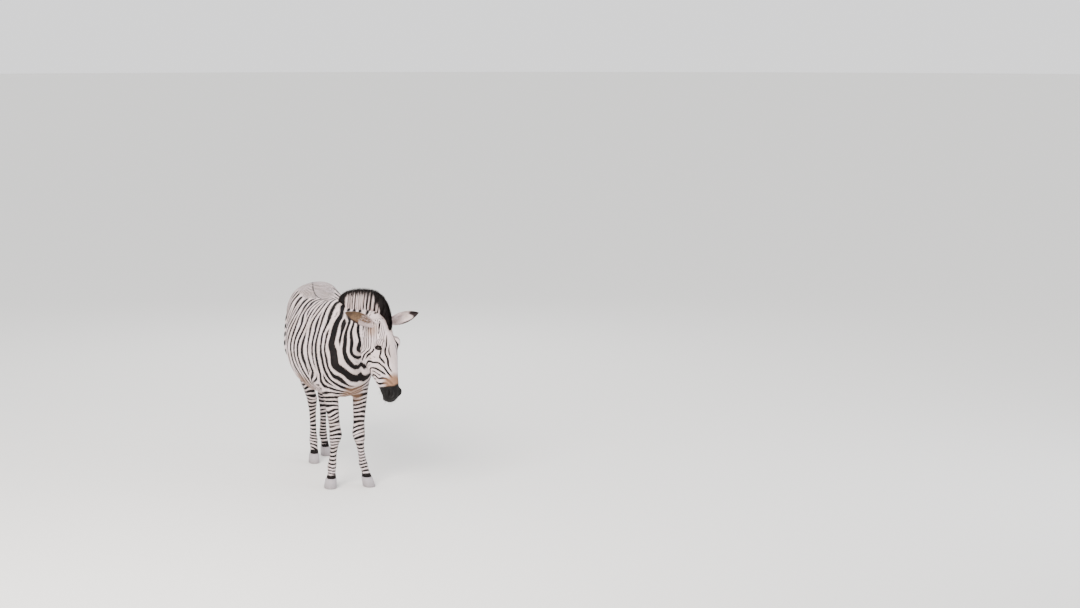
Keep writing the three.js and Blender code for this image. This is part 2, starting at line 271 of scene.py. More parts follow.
def solid_copies(nodes, name, grow):
    """One new object from copies of CAD nodes, each merged and grown a little so that they overlap."""
    copies = []
    for node in nodes:
        item = frame["nodes"][node].copy()
        item.data = item.data.copy()
        item.parent = None
        item.name = name
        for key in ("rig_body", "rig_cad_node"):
            del item[key]
        bpy.context.scene.collection.objects.link(item)
        only(item)
        bpy.ops.object.mode_set(mode="EDIT")
        bpy.ops.mesh.select_all(action="SELECT")
        bpy.ops.mesh.remove_doubles(threshold=1e-5)
        bpy.ops.transform.shrink_fatten(value=grow)
        bpy.ops.object.mode_set(mode="OBJECT")
        copies.append(item)
    only(*copies)
    if len(copies) > 1:
        bpy.ops.object.join()
    item = bpy.context.active_object
    item.name = item.data.name = name
    item.data.materials.clear()
    return item


def finish_with(item, kind, **settings):
    """Adds a modifier with its settings and applies it."""
    only(item)
    change = item.modifiers.new(kind.lower(), kind)
    for key, value in settings.items():
        setattr(change, key, value)
    bpy.ops.object.modifier_apply(modifier=change.name)


def points_of(item):
    """The places of an object's vertices, in the zebra's frame."""
    flat = np.empty(len(item.data.vertices) * 3, np.float32)
    item.data.vertices.foreach_get("co", flat)
    return home(flat.reshape(-1, 3).astype(float))


def normals_of(item):
    """The vertex normals of an object."""
    flat = np.empty(len(item.data.vertices) * 3, np.float32)
    item.data.vertex_normals.foreach_get("vector", flat)
    return flat.reshape(-1, 3).astype(float)


def set_points(item, points):
    """Puts an object's vertices at places in the zebra's frame."""
    item.data.vertices.foreach_set("co", (points + HOME).astype(np.float32).ravel())
    item.data.update()


NEIGHBOURS = 8            # as many as a vertex keeps for its smoothing


def neighbours(item):
    """For every vertex the numbers of its neighbours, its own number filling the rest."""
    count = len(item.data.vertices)
    pairs = np.empty(len(item.data.edges) * 2, np.int64)
    item.data.edges.foreach_get("vertices", pairs)
    pairs = pairs.reshape(-1, 2)
    both = np.concatenate([pairs, pairs[:, ::-1]])
    both = both[np.argsort(both[:, 0], kind="stable")]
    starts = np.searchsorted(both[:, 0], np.arange(count))
    rank = np.arange(len(both)) - starts[both[:, 0]]
    table = np.repeat(np.arange(count)[:, None], NEIGHBOURS, 1)
    kept = rank < NEIGHBOURS
    table[both[kept, 0], rank[kept]] = both[kept, 1]
    number = np.minimum(np.bincount(both[:, 0], minlength=count), NEIGHBOURS)
    return table, number


def relaxed(points, table, number, share, rounds):
    """Points drawn towards the mean of their neighbours, each by its own share, some rounds over."""
    points = points.astype(np.float32)
    filler = (NEIGHBOURS - number)[:, None].astype(np.float32)
    number = number[:, None].astype(np.float32)
    share = share[:, None].astype(np.float32)
    for _ in range(rounds):
        total = points[table].sum(1) - filler * points
        points += share * (total / number - points)
    return points.astype(float)


def smoothed(item, share, rounds):
    """Smooths an object without shrinking it: what the first pass took off is smoothed and put back."""
    table, number = neighbours(item)
    start = points_of(item)
    once = relaxed(start, table, number, share, rounds)
    set_points(item, once + relaxed(start - once, table, number, share, rounds))


def new_mesh(name, points, faces):
    """A new object from places in the zebra's frame and equal-sided faces."""
    mesh = bpy.data.meshes.new(name)
    faces = np.asarray(faces, np.int32)
    sides = faces.shape[1]
    mesh.vertices.add(len(points))
    mesh.vertices.foreach_set("co", (points + HOME).astype(np.float32).ravel())
    mesh.loops.add(faces.size)
    mesh.loops.foreach_set("vertex_index", faces.ravel())
    mesh.polygons.add(len(faces))
    mesh.polygons.foreach_set("loop_start", np.arange(0, faces.size, sides, dtype=np.int32))
    mesh.update(calc_edges=True)
    item = bpy.data.objects.new(name, mesh)
    bpy.context.scene.collection.objects.link(item)
    return item


def put_unwrap(item, places):
    """Gives a piece its OFBake map, from a place for each vertex."""
    corners = np.empty(len(item.data.loops), np.int32)
    item.data.loops.foreach_get("vertex_index", corners)
    layer = item.data.uv_layers.new(name="OFBake")
    layer.data.foreach_set("uv", places[corners].astype(np.float32).ravel())


def put_value(item, name, values):
    """Stores one number for each vertex."""
    store = item.data.attributes.get(name) or item.data.attributes.new(name, "FLOAT", "POINT")
    store.data.foreach_set("value", np.asarray(values, np.float32))


def smooth_shade(item):
    """Shades all faces of an object smooth."""
    item.data.polygons.foreach_set("use_smooth", np.ones(len(item.data.polygons), bool))
    item.data.update()


def dress(item, material, slot, *nodes):
    """Gives a finished piece its material and body, and hides the CAD nodes it stands for; slot is not used.
    """
    item.data.materials.clear()
    item.data.materials.append(material)
    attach(item, "root")
    if nodes:
        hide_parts(*nodes)


# ---- Materials ----


def new_material(name):
    """A new material's node tree and its main shader."""
    material = bpy.data.materials.new(name)
    material.use_nodes = True
    tree = material.node_tree
    return material, tree, tree.nodes["Principled BSDF"]


def add(tree, kind, settings=None, **links):
    """Adds a node with its settings and inputs: a socket is linked, a value is set, _0 is the first input."""
    node = tree.nodes.new("ShaderNode" + kind)
    for key, value in (settings or {}).items():
        setattr(node, key, value)
    for key, value in links.items():
        socket = node.inputs[int(key[1:])] if key[1:].isdigit() else node.inputs[key.replace("_", " ")]
        if isinstance(value, bpy.types.NodeSocket):
            tree.links.new(value, socket)
        else:
            socket.default_value = value
    return node


def attribute(tree, name):
    """The number stored on the mesh under a name."""
    return add(tree, "Attribute", {"attribute_name": name}).outputs["Fac"]


def noise(tree, size, detail=3.0):
    """Noise in the object's own space with grains about size metres across."""
    place = add(tree, "TexCoord").outputs["Object"]
    return add(tree, "TexNoise", Vector=place, Scale=1 / size, Detail=detail).outputs["Fac"]


def stepped(tree, value, low, high):
    """A value remapped from low..high to 0..1 and clamped."""
    return add(tree, "MapRange", _0=value, _1=low, _2=high, _3=0.0, _4=1.0).outputs[0]


def blend(tree, share, first, second):
    """A mix of two colours."""
    node = add(tree, "Mix", {"data_type": "RGBA"}, _0=share)
    for socket, value in ((node.inputs[6], first), (node.inputs[7], second)):
        if isinstance(value, bpy.types.NodeSocket):
            tree.links.new(value, socket)
        else:
            socket.default_value = value
    return node.outputs[2]


def maths(tree, operation, first, second):
    """A sum, product or other operation on two numbers."""
    return add(tree, "Math", {"operation": operation}, _0=first, _1=second).outputs[0]


EDGE_GRAIN = 0.0035       # about how long the ragged edges' teeth are, from the hair's length


def stripe_ink(tree):
    """How black the stripes are, from 0 to 1, out of the numbers that markings() stored.

    Each stripe's depth inside its edge is worked out in millimetres. main are the stripes, between the
    thinner ones that every gap grows as fork rises from 0 to 1, bars those of the croup.
    """
    fork = attribute(tree, "fork")
    octave = maths(tree, "FLOOR", fork, 0.0)
    times = maths(tree, "POWER", 2.0, octave)
    split = stepped(tree, maths(tree, "SUBTRACT", fork, octave), 0.35, 1.0)
    pitch = maths(tree, "DIVIDE", attribute(tree, "pitch"), times)
    away = maths(tree, "PINGPONG", maths(tree, "MULTIPLY", attribute(tree, "phase"), times), 0.5)
    black = attribute(tree, "black")
    minor = maths(tree, "MULTIPLY", maths(tree, "MULTIPLY", black, split), 0.25)
    major = maths(tree, "SUBTRACT", maths(tree, "MULTIPLY", black, 0.5), minor)
    main = maths(tree, "MULTIPLY", maths(tree, "SUBTRACT", major, away), pitch)
    between = maths(tree, "SUBTRACT", maths(tree, "ADD", minor, away), 0.5)
    between = maths(tree, "MULTIPLY", between, pitch)
    unsplit = maths(tree, "MULTIPLY", maths(tree, "SUBTRACT", split, 1.0), 5.0)
    between = maths(tree, "ADD", between, unsplit)
    bars = maths(tree, "PINGPONG", attribute(tree, "grid"), 0.5)
    bars = maths(tree, "SUBTRACT", maths(tree, "MULTIPLY", attribute(tree, "grid_black"), 0.5), bars)
    bars = maths(tree, "MULTIPLY", bars, CROUP_PITCH * 1000)
    faded = stepped(tree, black, 0.22, 0.04)
    main = maths(tree, "SUBTRACT", main, maths(tree, "MULTIPLY", faded, 4.0))
    inside = maths(tree, "MAXIMUM", main, between)
    croup = maths(tree, "MAXIMUM", bars, attribute(tree, "line"))
    inside = maths(tree, "MAXIMUM", inside, croup)
    reach = add(tree, "MapRange", _0=pitch, _1=10.0, _2=45.0, _3=0.8, _4=3.2).outputs[0]
    ragged = maths(tree, "SUBTRACT", noise(tree, EDGE_GRAIN), 0.5)
    ragged = maths(tree, "MULTIPLY", ragged, reach)
    return stepped(tree, maths(tree, "ADD", inside, ragged), 0.0, 1.0)


def hair_tone(tree, hair, low, high):
    """A hair's colour made lighter or darker by its own shade: a random tone, and on the coat's tufts also
    painted shade at the root and painted light at the tip.
    """
    value = add(tree, "MapRange", _0=attribute(tree, "shade"), _1=0.0, _2=1.0, _3=low, _4=high).outputs[0]
    return add(tree, "HueSaturation", Color=hair, Value=value).outputs[0]


def relief(tree, shader, strength, depth, height):
    """Gives a shader a fine relief, depth metres deep."""
    bump = add(tree, "Bump", Strength=strength, Distance=depth, Height=height)
    tree.links.new(bump.outputs[0], shader.inputs["Normal"])


def coat_material():
    """Short straight hair lying over skin: dull, hardly any sheen, stripes with ragged edges."""
    material, tree, shader = new_material("zebra_short_hair")
    paint = colours()
    pale = blend(tree, stepped(tree, noise(tree, 0.09), 0.35, 0.7), paint.white, paint.cream)
    dark = blend(tree, stepped(tree, noise(tree, 0.05), 0.45, 0.8), paint.black, paint.brown)
    pale = blend(tree, attribute(tree, "rust"), pale, paint.rust)
    dark = blend(tree, maths(tree, "MULTIPLY", attribute(tree, "rust"), 0.6), dark, paint.rust)
    hair = blend(tree, stripe_ink(tree), pale, dark)
    hair = blend(tree, attribute(tree, "bare"), hair, paint.muzzle)
    tree.links.new(hair_tone(tree, hair, 0.72, 1.12), shader.inputs["Base Color"])
    shader.inputs["Roughness"].default_value = 0.58
    shader.inputs["Specular IOR Level"].default_value = 0.14
    shader.inputs["Sheen Weight"].default_value = 0.03
    shader.inputs["Sheen Roughness"].default_value = 0.4
    relief(tree, shader, 0.35, 0.0012, noise(tree, 0.003, 2.0))
    return material


def mane_material():
    """Long coarse hair: in pale and black bands, black towards the tips, with a low sheen."""
    material, tree, shader = new_material("zebra_long_hair")
    paint = colours()
    ink = stepped(tree, attribute(tree, "stripe"), -1.5, 1.5)
    pale = blend(tree, attribute(tree, "shade"), paint.white, paint.cream)
    dark = blend(tree, attribute(tree, "shade"), paint.black, paint.brown)
    hair = blend(tree, ink, pale, dark)
    hair = blend(tree, attribute(tree, "tip"), hair, dark)
    tree.links.new(hair, shader.inputs["Base Color"])
    shader.inputs["Roughness"].default_value = 0.45
    shader.inputs["Specular IOR Level"].default_value = 0.25
    return material


def ear_material():
    """Thin ear with short hair: brown inside, partly its own colour and partly painted shade, pale and banded
    outside, dark along the rim.
    """
    material, tree, shader = new_material("zebra_ear_hair")
    paint = colours()
    pale = blend(tree, stepped(tree, noise(tree, 0.02), 0.35, 0.7), paint.white, paint.cream)
    inner = stepped(tree, noise(tree, 0.012), 0.3, 0.75)
    inner = blend(tree, inner, linear("#7a6048"), linear("#4d3c2d"))
    hair = blend(tree, attribute(tree, "inner"), pale, inner)
    hair = blend(tree, attribute(tree, "band"), hair, linear("#1c0f10"))
    tree.links.new(hair_tone(tree, hair, 0.85, 1.12), shader.inputs["Base Color"])
    shader.inputs["Roughness"].default_value = 0.7
    shader.inputs["Specular IOR Level"].default_value = 0.3
    relief(tree, shader, 0.4, 0.001, noise(tree, 0.003, 2.0))
    return material


RING_SCALE = 38.0         # of the wave pattern: rings about 8 mm apart


def horn_material():
    """Hoof horn: dull, pale grey, with fine growth rings across, darker towards the sole."""
    material, tree, shader = new_material("hoof_horn")
    paint = colours()
    place = add(tree, "TexCoord").outputs["Object"]
    rings = add(tree, "TexWave", {"bands_direction": "Z"}, Vector=place, Scale=RING_SCALE,
                Distortion=5.0, Detail=3.0).outputs["Fac"]
    height = add(tree, "SeparateXYZ", Vector=place).outputs["Z"]
    low = stepped(tree, height, 0.045, 0.004)
    tone = blend(tree, stepped(tree, rings, 0.2, 0.9), paint.horn, linear("#9c9393"))
    tone = blend(tree, maths(tree, "MULTIPLY", low, noise(tree, 0.01)), tone, paint.horn_dark)
    tree.links.new(tone, shader.inputs["Base Color"])
    shader.inputs["Roughness"].default_value = 0.55
    relief(tree, shader, 0.25, 0.0004, rings)
    return material


def eye_material():
    """Wet dark eye: brown iris with a level pupil under a clear glossy cornea."""
    material, tree, shader = new_material("dark_eye")
    paint = colours()
    iris = blend(tree, noise(tree, 0.0015), paint.iris, linear("#120a07"))
    tone = blend(tree, attribute(tree, "pupil"), iris, linear("#030303"))
    tone = blend(tree, attribute(tree, "white"), tone, linear("#2c211d"))
    tree.links.new(tone, shader.inputs["Base Color"])
    shader.inputs["Roughness"].default_value = 0.12
    shader.inputs["Specular IOR Level"].default_value = 0.2
    shader.inputs["Coat Weight"].default_value = 0.3
    shader.inputs["Coat Roughness"].default_value = 0.02
    return material


def floor_material():
    """Matt painted studio floor."""
    material, _, shader = new_material("matt_studio_floor")
    shader.inputs["Base Color"].default_value = tuple(colours().floor)
    shader.inputs["Roughness"].default_value = 0.9
    return material


# ---- Stage ----

FLOOR_RADIUS = 120                      # so wide that its edge lies near the horizon
SKY_COLOUR, SKY_STRENGTH = "#f4f4f5", 1.6
# The lamps: name, place, width in metres, power in watts, colour.
LAMPS = (
    ("soft_key", (-4.0, -4.5, 5.5), 4.0, 900, "#fff8f2"),
    ("soft_fill", (5.5, -3.5, 3.5), 5.0, 130, "#eef3ff"),
    ("soft_back", (2.0, 6.0, 5.0), 5.0, 160, "#ffffff"),
)
LAMP_AIM = Vector((0, 0, 0.8))
CAMERA_PLACE = np.array([-4.1297, -13.5795, 3.318])
CAMERA_DIP, CAMERA_YAW = 8.036, 22.56   # degrees down, and round to the right
SENSOR_WIDTH, LENS = 36, 66.67          # millimetres
SEES_FROM, SEES_TO = 0.1, 500           # metres


class ZEBRA_OT_stage(bpy.types.Operator):
    """Lay the plain floor, hang the soft lights and set the camera"""

    bl_idname = "zebra.stage"
    bl_label = "Stage"

    def execute(self, context):
        bpy.ops.object.select_all(action="DESELECT")
        bpy.ops.mesh.primitive_circle_add(vertices=96, radius=FLOOR_RADIUS, fill_type="NGON")
        floor = context.active_object
        floor.name = floor.data.name = "studio_floor"
        floor.data.materials.append(floor_material())
        world = context.scene.world or bpy.data.worlds.new("studio")
        context.scene.world = world
        world.use_nodes = True
        sky = world.node_tree.nodes["Background"]
        sky.inputs["Color"].default_value = linear(SKY_COLOUR)
        sky.inputs["Strength"].default_value = SKY_STRENGTH
        for lamp in LAMPS:
            hang(*lamp)
        turn = (math.radians(90 - CAMERA_DIP), 0, -math.radians(CAMERA_YAW))
        bpy.ops.object.camera_add(location=HOME + CAMERA_PLACE, rotation=turn)
        camera = context.active_object
        camera.name = camera.data.name = "studio_camera"
        camera.data.sensor_width = SENSOR_WIDTH
        camera.data.lens = LENS
        camera.data.clip_start, camera.data.clip_end = SEES_FROM, SEES_TO
        context.scene.camera = camera
        return {"FINISHED"}


def hang(name, place, size, power, tint):
    """Hangs one round soft lamp that shines on the middle of the zebra."""
    bpy.ops.object.light_add(type="AREA", location=place)
    lamp = bpy.context.active_object
    lamp.name = lamp.data.name = name
    lamp.data.shape = "DISK"
    lamp.data.size = size
    lamp.data.energy = power
    lamp.data.color = linear(tint)[:3]
    lamp.rotation_euler = (LAMP_AIM - Vector(place)).to_track_quat("-Z", "Y").to_euler()


# ---- Skin ----

OVERLAP = 0.0012          # how much the solids grow so that the gaps between them close
# Grain and rounds of smoothing of the two forms that the skin is fitted to: one for the body, where the
# facets are broad, and one for head and legs.
BROAD_VOXEL, BROAD_ROUNDS = 0.010, 29
SLIM_VOXEL, SLIM_ROUNDS = 0.004, 26


def built(name, voxel, share=None, rounds=0):
    """The flesh as one closed surface of small squares, smoothed by as much as share says for each place."""
    item = solid_copies(FLESH, name, OVERLAP)
    finish_with(item, "REMESH", mode="VOXEL", voxel_size=voxel)
    if rounds:
        smoothed(item, share(points_of(item)), rounds)
    return item


def broad_share(points):
    """The trunk's facets are broad, so it is smoothed most."""
    return np.interp(points[:, 2], (0.45, 0.85), (0.25, 1.0))


def slim_share(points):
    """Head and feet have small facets."""
    head, _ = part_weights(points)
    share = np.interp(points[:, 2], (0.35, 0.65), (0.16, 0.9))
    return share * (1 - head) + 0.4 * head


def surface_of(item):
    """An object's surface, ready to be searched, in the zebra's frame."""
    faces = [tuple(face.vertices) for face in item.data.polygons]
    return BVHTree.FromPolygons([tuple(point) for point in points_of(item)], faces)


def nearest_on(item, points):
    """The nearest places on an object's surface."""
    surface = surface_of(item)
    return np.array([surface.find_nearest(point)[0] for point in points.tolist()])


def swell(points, normals, centre, reach, rise):
    """Points moved along their normals by rise at the centre, fading out over reach on each axis."""
    away = ((points - centre) / reach) ** 2
    return points + normals * (rise * np.exp(-away.sum(1)))[:, None]


class ZEBRA_OT_skin(bpy.types.Operator):
    """Make one seamless skin from the solids of flesh and shape muscles, folds and face on it"""

    bl_idname = "zebra.skin"
    bl_label = "Skin"

    def execute(self, context):
        broad = built("broad_form", BROAD_VOXEL, broad_share, BROAD_ROUNDS)
        slim = built("slim_form", SLIM_VOXEL, slim_share, SLIM_ROUNDS)
        skin = built("skin", sizes().voxel)
        divide_fine_parts(skin)
        points = points_of(skin)
        share = np.maximum(*part_weights(points))[:, None]
        points = nearest_on(broad, points) * (1 - share) + nearest_on(slim, points) * share
        set_points(skin, points)
        smoothed(skin, np.full(len(points), 0.5), 2)
        for form in (broad, slim):
            bpy.data.objects.remove(form)
        points, normals = points_of(skin), normals_of(skin)
        set_points(skin, points - normals * skin_inset(points)[:, None])
        sculpt(skin)
        tuck_under_lids(skin)
        finish_with(skin, "TRIANGULATE")
        smooth_shade(skin)
        unwrap(skin)
        mark(skin)
        put_value(skin, "shade", np.full(len(skin.data.vertices), 0.45))
        dress(skin, coat_material(), "coat", *FLESH)
        return {"FINISHED"}


def skin_inset(points):
    """The depth of the coat at each point."""
    head, legs = part_weights(points)
    return sizes().coat_depth * (1 - 0.6 * head) * (1 - 0.4 * legs)


def divide(item, chosen):
    """Divides the faces whose corners are all chosen."""
    only(item)
    bpy.ops.object.mode_set(mode="EDIT")
    bpy.ops.mesh.select_mode(type="FACE")
    bpy.ops.mesh.select_all(action="DESELECT")
    bpy.ops.object.mode_set(mode="OBJECT")
    mesh = item.data
    corners = np.empty(len(mesh.loops), np.int32)
    mesh.loops.foreach_get("vertex_index", corners)
    starts = np.empty(len(mesh.polygons), np.int32)
    mesh.polygons.foreach_get("loop_start", starts)
    mesh.polygons.foreach_set("select", np.logical_and.reduceat(chosen[corners], starts))
    bpy.ops.object.mode_set(mode="EDIT")
    bpy.ops.mesh.subdivide(number_cuts=1)
    bpy.ops.object.mode_set(mode="OBJECT")


def divide_fine_parts(skin):
    """Gives head and legs smaller faces, and the muzzle and the places round the eyes smaller ones still."""
    head, legs = part_weights(points_of(skin))
    divide(skin, (head > 0.1) | (legs > 0.9))
    across, down, forward = in_head(points_of(skin)).T
    head, _ = part_weights(points_of(skin))
    by_eye = (np.hypot(down - EYE[1], forward - EYE[2]) < 0.055) & (np.abs(across) > 0.04)
    divide(skin, (head > 0.7) & ((down > MUZZLE_DOWN) | by_eye))


MUZZLE_DOWN = 0.49        # how far down the head the muzzle starts

# Forms of the body, on both sides of the spine: centre, reach on each axis, rise, in metres.
BODY_FORMS = (
    ((0.19, 0.06, 0.92), (0.09, 0.10, 0.13), 0.008),          # triceps
    ((0.20, 0.17, 0.98), (0.10, 0.035, 0.16), -0.008),        # hollow behind the shoulder
    ((0.15, -0.17, 0.93), (0.06, 0.05, 0.06), 0.009),         # point of the shoulder
    ((0.06, -0.22, 0.87), (0.045, 0.06, 0.08), 0.008),        # breast muscle
    ((0.00, -0.235, 0.87), (0.016, 0.05, 0.09), -0.006),      # groove down the breast
    ((0.26, 0.70, 1.12), (0.09, 0.06, 0.08), -0.009),         # hollow of the flank
    ((0.20, 0.80, 1.24), (0.07, 0.05, 0.04), 0.007),          # point of the hip
    ((0.19, 0.77, 0.80), (0.08, 0.06, 0.08), 0.009),          # stifle
    ((0.17, 1.03, 0.98), (0.09, 0.022, 0.16), -0.005),        # groove behind the thigh
)
# Forms of the face: across, down, forward.
FACE_FORMS = (
    ((0.083, 0.185, 0.014), (0.022, 0.012, 0.022), 0.004),    # brow
    ((0.068, 0.135, 0.030), (0.022, 0.030, 0.030), -0.005),   # hollow above the eye
    ((0.080, 0.255, 0.010), (0.020, 0.020, 0.020), -0.003),   # inner corner
    ((0.060, 0.320, -0.015), (0.025, 0.075, 0.025), -0.005),  # hollow beside the nose
    ((0.078, 0.290, -0.060), (0.020, 0.070, 0.012), 0.005),   # cheek bone's ridge
    ((0.060, 0.420, -0.075), (0.030, 0.060, 0.030), -0.004),  # hollow of the cheek
    ((0.052, 0.530, 0.024), (0.014, 0.026, 0.014), 0.004),    # nostril's rim
)
# Grooves of the face: their line's places, their width and depth.
FACE_GROOVES = (
    (((0.056, 0.512, 0.010), (0.062, 0.528, 0.010), (0.059, 0.546, 0.000)), 0.0070, 0.015),   # nostril
    (((0.000, 0.598, -0.046), (0.030, 0.585, -0.052), (0.047, 0.545, -0.062), (0.050, 0.505, -0.074)),
     0.0045, 0.006),                                                                           # mouth
)


def sculpt(skin):
    """Raises muscles and bones and presses in hollows, folds, nostrils and the line of the mouth."""
    points, normals = points_of(skin), normals_of(skin)
    for centre, reach, rise in BODY_FORMS:
        for side in (-1, 1):
            x, y, z = centre
            place = (spine_x(y) + side * x, y, z)
            points = swell(points, normals, place, reach, rise)
    local = in_head(points)
    lift = np.zeros(len(points))
    for centre, reach, rise in FACE_FORMS:
        for side in (-1, 1):
            away = ((local - (side * centre[0], centre[1], centre[2])) / reach) ** 2
            lift += rise * np.exp(-away.sum(1))
    for line, width, depth in FACE_GROOVES:
        for side in (-1, 1):
            path = np.array(line) * (side, 1, 1)
            lift -= depth * np.exp(-(distance_to(local, path) / width) ** 2)
    points = points + normals * lift[:, None]
    set_points(skin, points)


def tuck_under_lids(skin):
    """Draws the skin next to each eye in behind the lids and the eyeball."""
    points = points_of(skin)
    for side in (-1, 1):
        centre, gaze, _, _ = eye_place(side)
        away = points - centre
        out = away @ gaze
        aside = np.linalg.norm(away - out[:, None] * gaze, axis=1)
        near = (np.linalg.norm(away, axis=1) < 0.06) & (out > -0.03)
        depth = ramp(0.034, 0.022, aside) * near
        goal = np.minimum(out, 0.002)
        points += gaze * ((goal - out) * depth)[:, None]
    set_points(skin, points)


def distance_to(points, path):
    """Distance from each point to a line through the path's places."""
    nearest = np.full(len(points), 1e9)
    for start, end in zip(path[:-1], path[1:]):
        way = end - start
        along = np.clip((points - start) @ way / (way @ way), 0, 1)
        nearest = np.minimum(nearest, np.linalg.norm(points - start - along[:, None] * way, axis=1))
    return nearest


def unwrap(skin):
    """Unwraps the skin, so that every tuft knows its root's place on it."""
    only(skin)
    bpy.ops.object.mode_set(mode="EDIT")
    bpy.ops.mesh.select_all(action="SELECT")
    bpy.ops.uv.smart_project(angle_limit=math.radians(66), island_margin=0.0)
    bpy.ops.object.mode_set(mode="OBJECT")
    skin.data.uv_layers[0].name = "OFBake"


# ---- Markings ----

# Guides of the body's stripes: number of a black stripe, then a place it passes, as distance from the
# spine, place along it and height. Stripe 0 is the broad one over the shoulder.
BODY_GUIDES = (
    (-10, 0.02, -0.43, 1.31), (-10, 0.08, -0.44, 1.20), (-9, 0.00, -0.37, 1.06), (-8, 0.02, -0.34, 1.33),
    (-8, 0.09, -0.38, 1.20), (-8, 0.08, -0.39, 1.10), (-7, 0.00, -0.30, 1.04), (-6, 0.02, -0.25, 1.32),
    (-6, 0.09, -0.32, 1.20), (-6, 0.09, -0.33, 1.10), (-5, 0.04, -0.25, 1.00), (-4, 0.095, -0.26, 1.08),
    (-4, 0.02, -0.18, 1.31), (-4, 0.11, -0.26, 1.18), (-3, 0.045, -0.22, 0.99), (-2, 0.115, -0.22, 1.175),
    (-2, 0.12, -0.22, 1.12), (-2, 0.105, -0.215, 1.07), (-2, 0.085, -0.205, 1.01), (-2, 0.05, -0.21, 0.955),
    (-2, 0.01, -0.22, 0.915), (-2, 0.02, -0.09, 1.31), (-2, 0.09, -0.22, 1.22), (-1, 0.105, -0.175, 1.195),
    (-1, 0.125, -0.185, 1.115), (-1, 0.00, -0.21, 0.88), (-1, 0.05, -0.20, 0.92), (-1, 0.085, -0.19, 0.955),
    (-1, 0.11, -0.18, 1.01), (-1, 0.12, -0.18, 1.06), (0, 0.055, -0.07, 1.28), (0, 0.105, -0.10, 1.215),
    (0, 0.135, -0.115, 1.16), (0, 0.155, -0.125, 1.09), (0, 0.15, -0.14, 1.025), (0, 0.14, -0.15, 0.98),
    (0, 0.00, -0.19, 0.82), (0, 0.04, -0.19, 0.845), (0, 0.09, -0.18, 0.88), (0, 0.13, -0.16, 0.92),
    (0, 0.00, 0.02, 1.32), (1, 0.095, -0.05, 1.255), (1, 0.13, -0.07, 1.21), (1, 0.16, -0.085, 1.16),
    (1, 0.185, -0.09, 1.09), (1, 0.19, -0.09, 1.02), (1, 0.18, -0.105, 0.97), (1, 0.00, -0.16, 0.76),
    (1, 0.04, -0.16, 0.78), (1, 0.09, -0.16, 0.81), (1, 0.13, -0.14, 0.84), (1, 0.17, -0.12, 0.91),
    (2, 0.145, -0.04, 1.205), (2, 0.04, -0.14, 0.72), (2, 0.13, -0.12, 0.79), (2, 0.175, -0.10, 0.85),
    (2, 0.19, -0.085, 0.90), (2, 0.10, 0.00, 1.27), (2, 0.18, -0.04, 1.12), (3, 0.15, 0.00, 1.20),
    (3, 0.00, -0.10, 0.68), (4, 0.13, 0.06, 1.26), (4, 0.19, 0.03, 1.12), (4, 0.22, -0.02, 0.92),
    (6, 0.10, 0.17, 1.30), (6, 0.19, 0.17, 1.17), (6, 0.24, 0.15, 0.98), (6, 0.21, 0.04, 0.81),
    (7, 0.10, 0.24, 1.30), (7, 0.22, 0.22, 1.10), (7, 0.25, 0.21, 0.92), (7, 0.23, 0.12, 0.80),
    (8, 0.09, 0.33, 1.28), (8, 0.22, 0.26, 1.15), (8, 0.27, 0.30, 0.98), (8, 0.26, 0.24, 0.84),
    (9, 0.10, 0.50, 1.27), (9, 0.18, 0.40, 1.22), (9, 0.28, 0.36, 1.00), (9, 0.25, 0.28, 0.82),
    (10, 0.13, 0.55, 1.26), (10, 0.24, 0.42, 1.15), (10, 0.29, 0.42, 0.96), (10, 0.28, 0.38, 0.85),
    (10, 0.24, 0.80, 0.74), (11, 0.10, 0.62, 1.28), (11, 0.18, 0.54, 1.23), (11, 0.28, 0.50, 1.05),
    (11, 0.29, 0.48, 0.88), (12, 0.15, 0.62, 1.25), (12, 0.26, 0.57, 1.10), (12, 0.28, 0.66, 0.96),
    (12, 0.26, 0.78, 0.86), (12, 0.20, 0.98, 0.76), (14, 0.16, 0.72, 1.27), (14, 0.24, 0.70, 1.12),
    (14, 0.24, 0.86, 0.96), (16, 0.16, 0.80, 1.29), (16, 0.23, 0.82, 1.12), (16, 0.18, 1.03, 1.02),
    (17.6, 0.13, 0.92, 1.29), (18, 0.17, 1.02, 1.16), (19.4, 0.08, 1.05, 1.28), (20, 0.03, 1.00, 1.32),
    (21.5, 0.00, 1.10, 1.27),
)
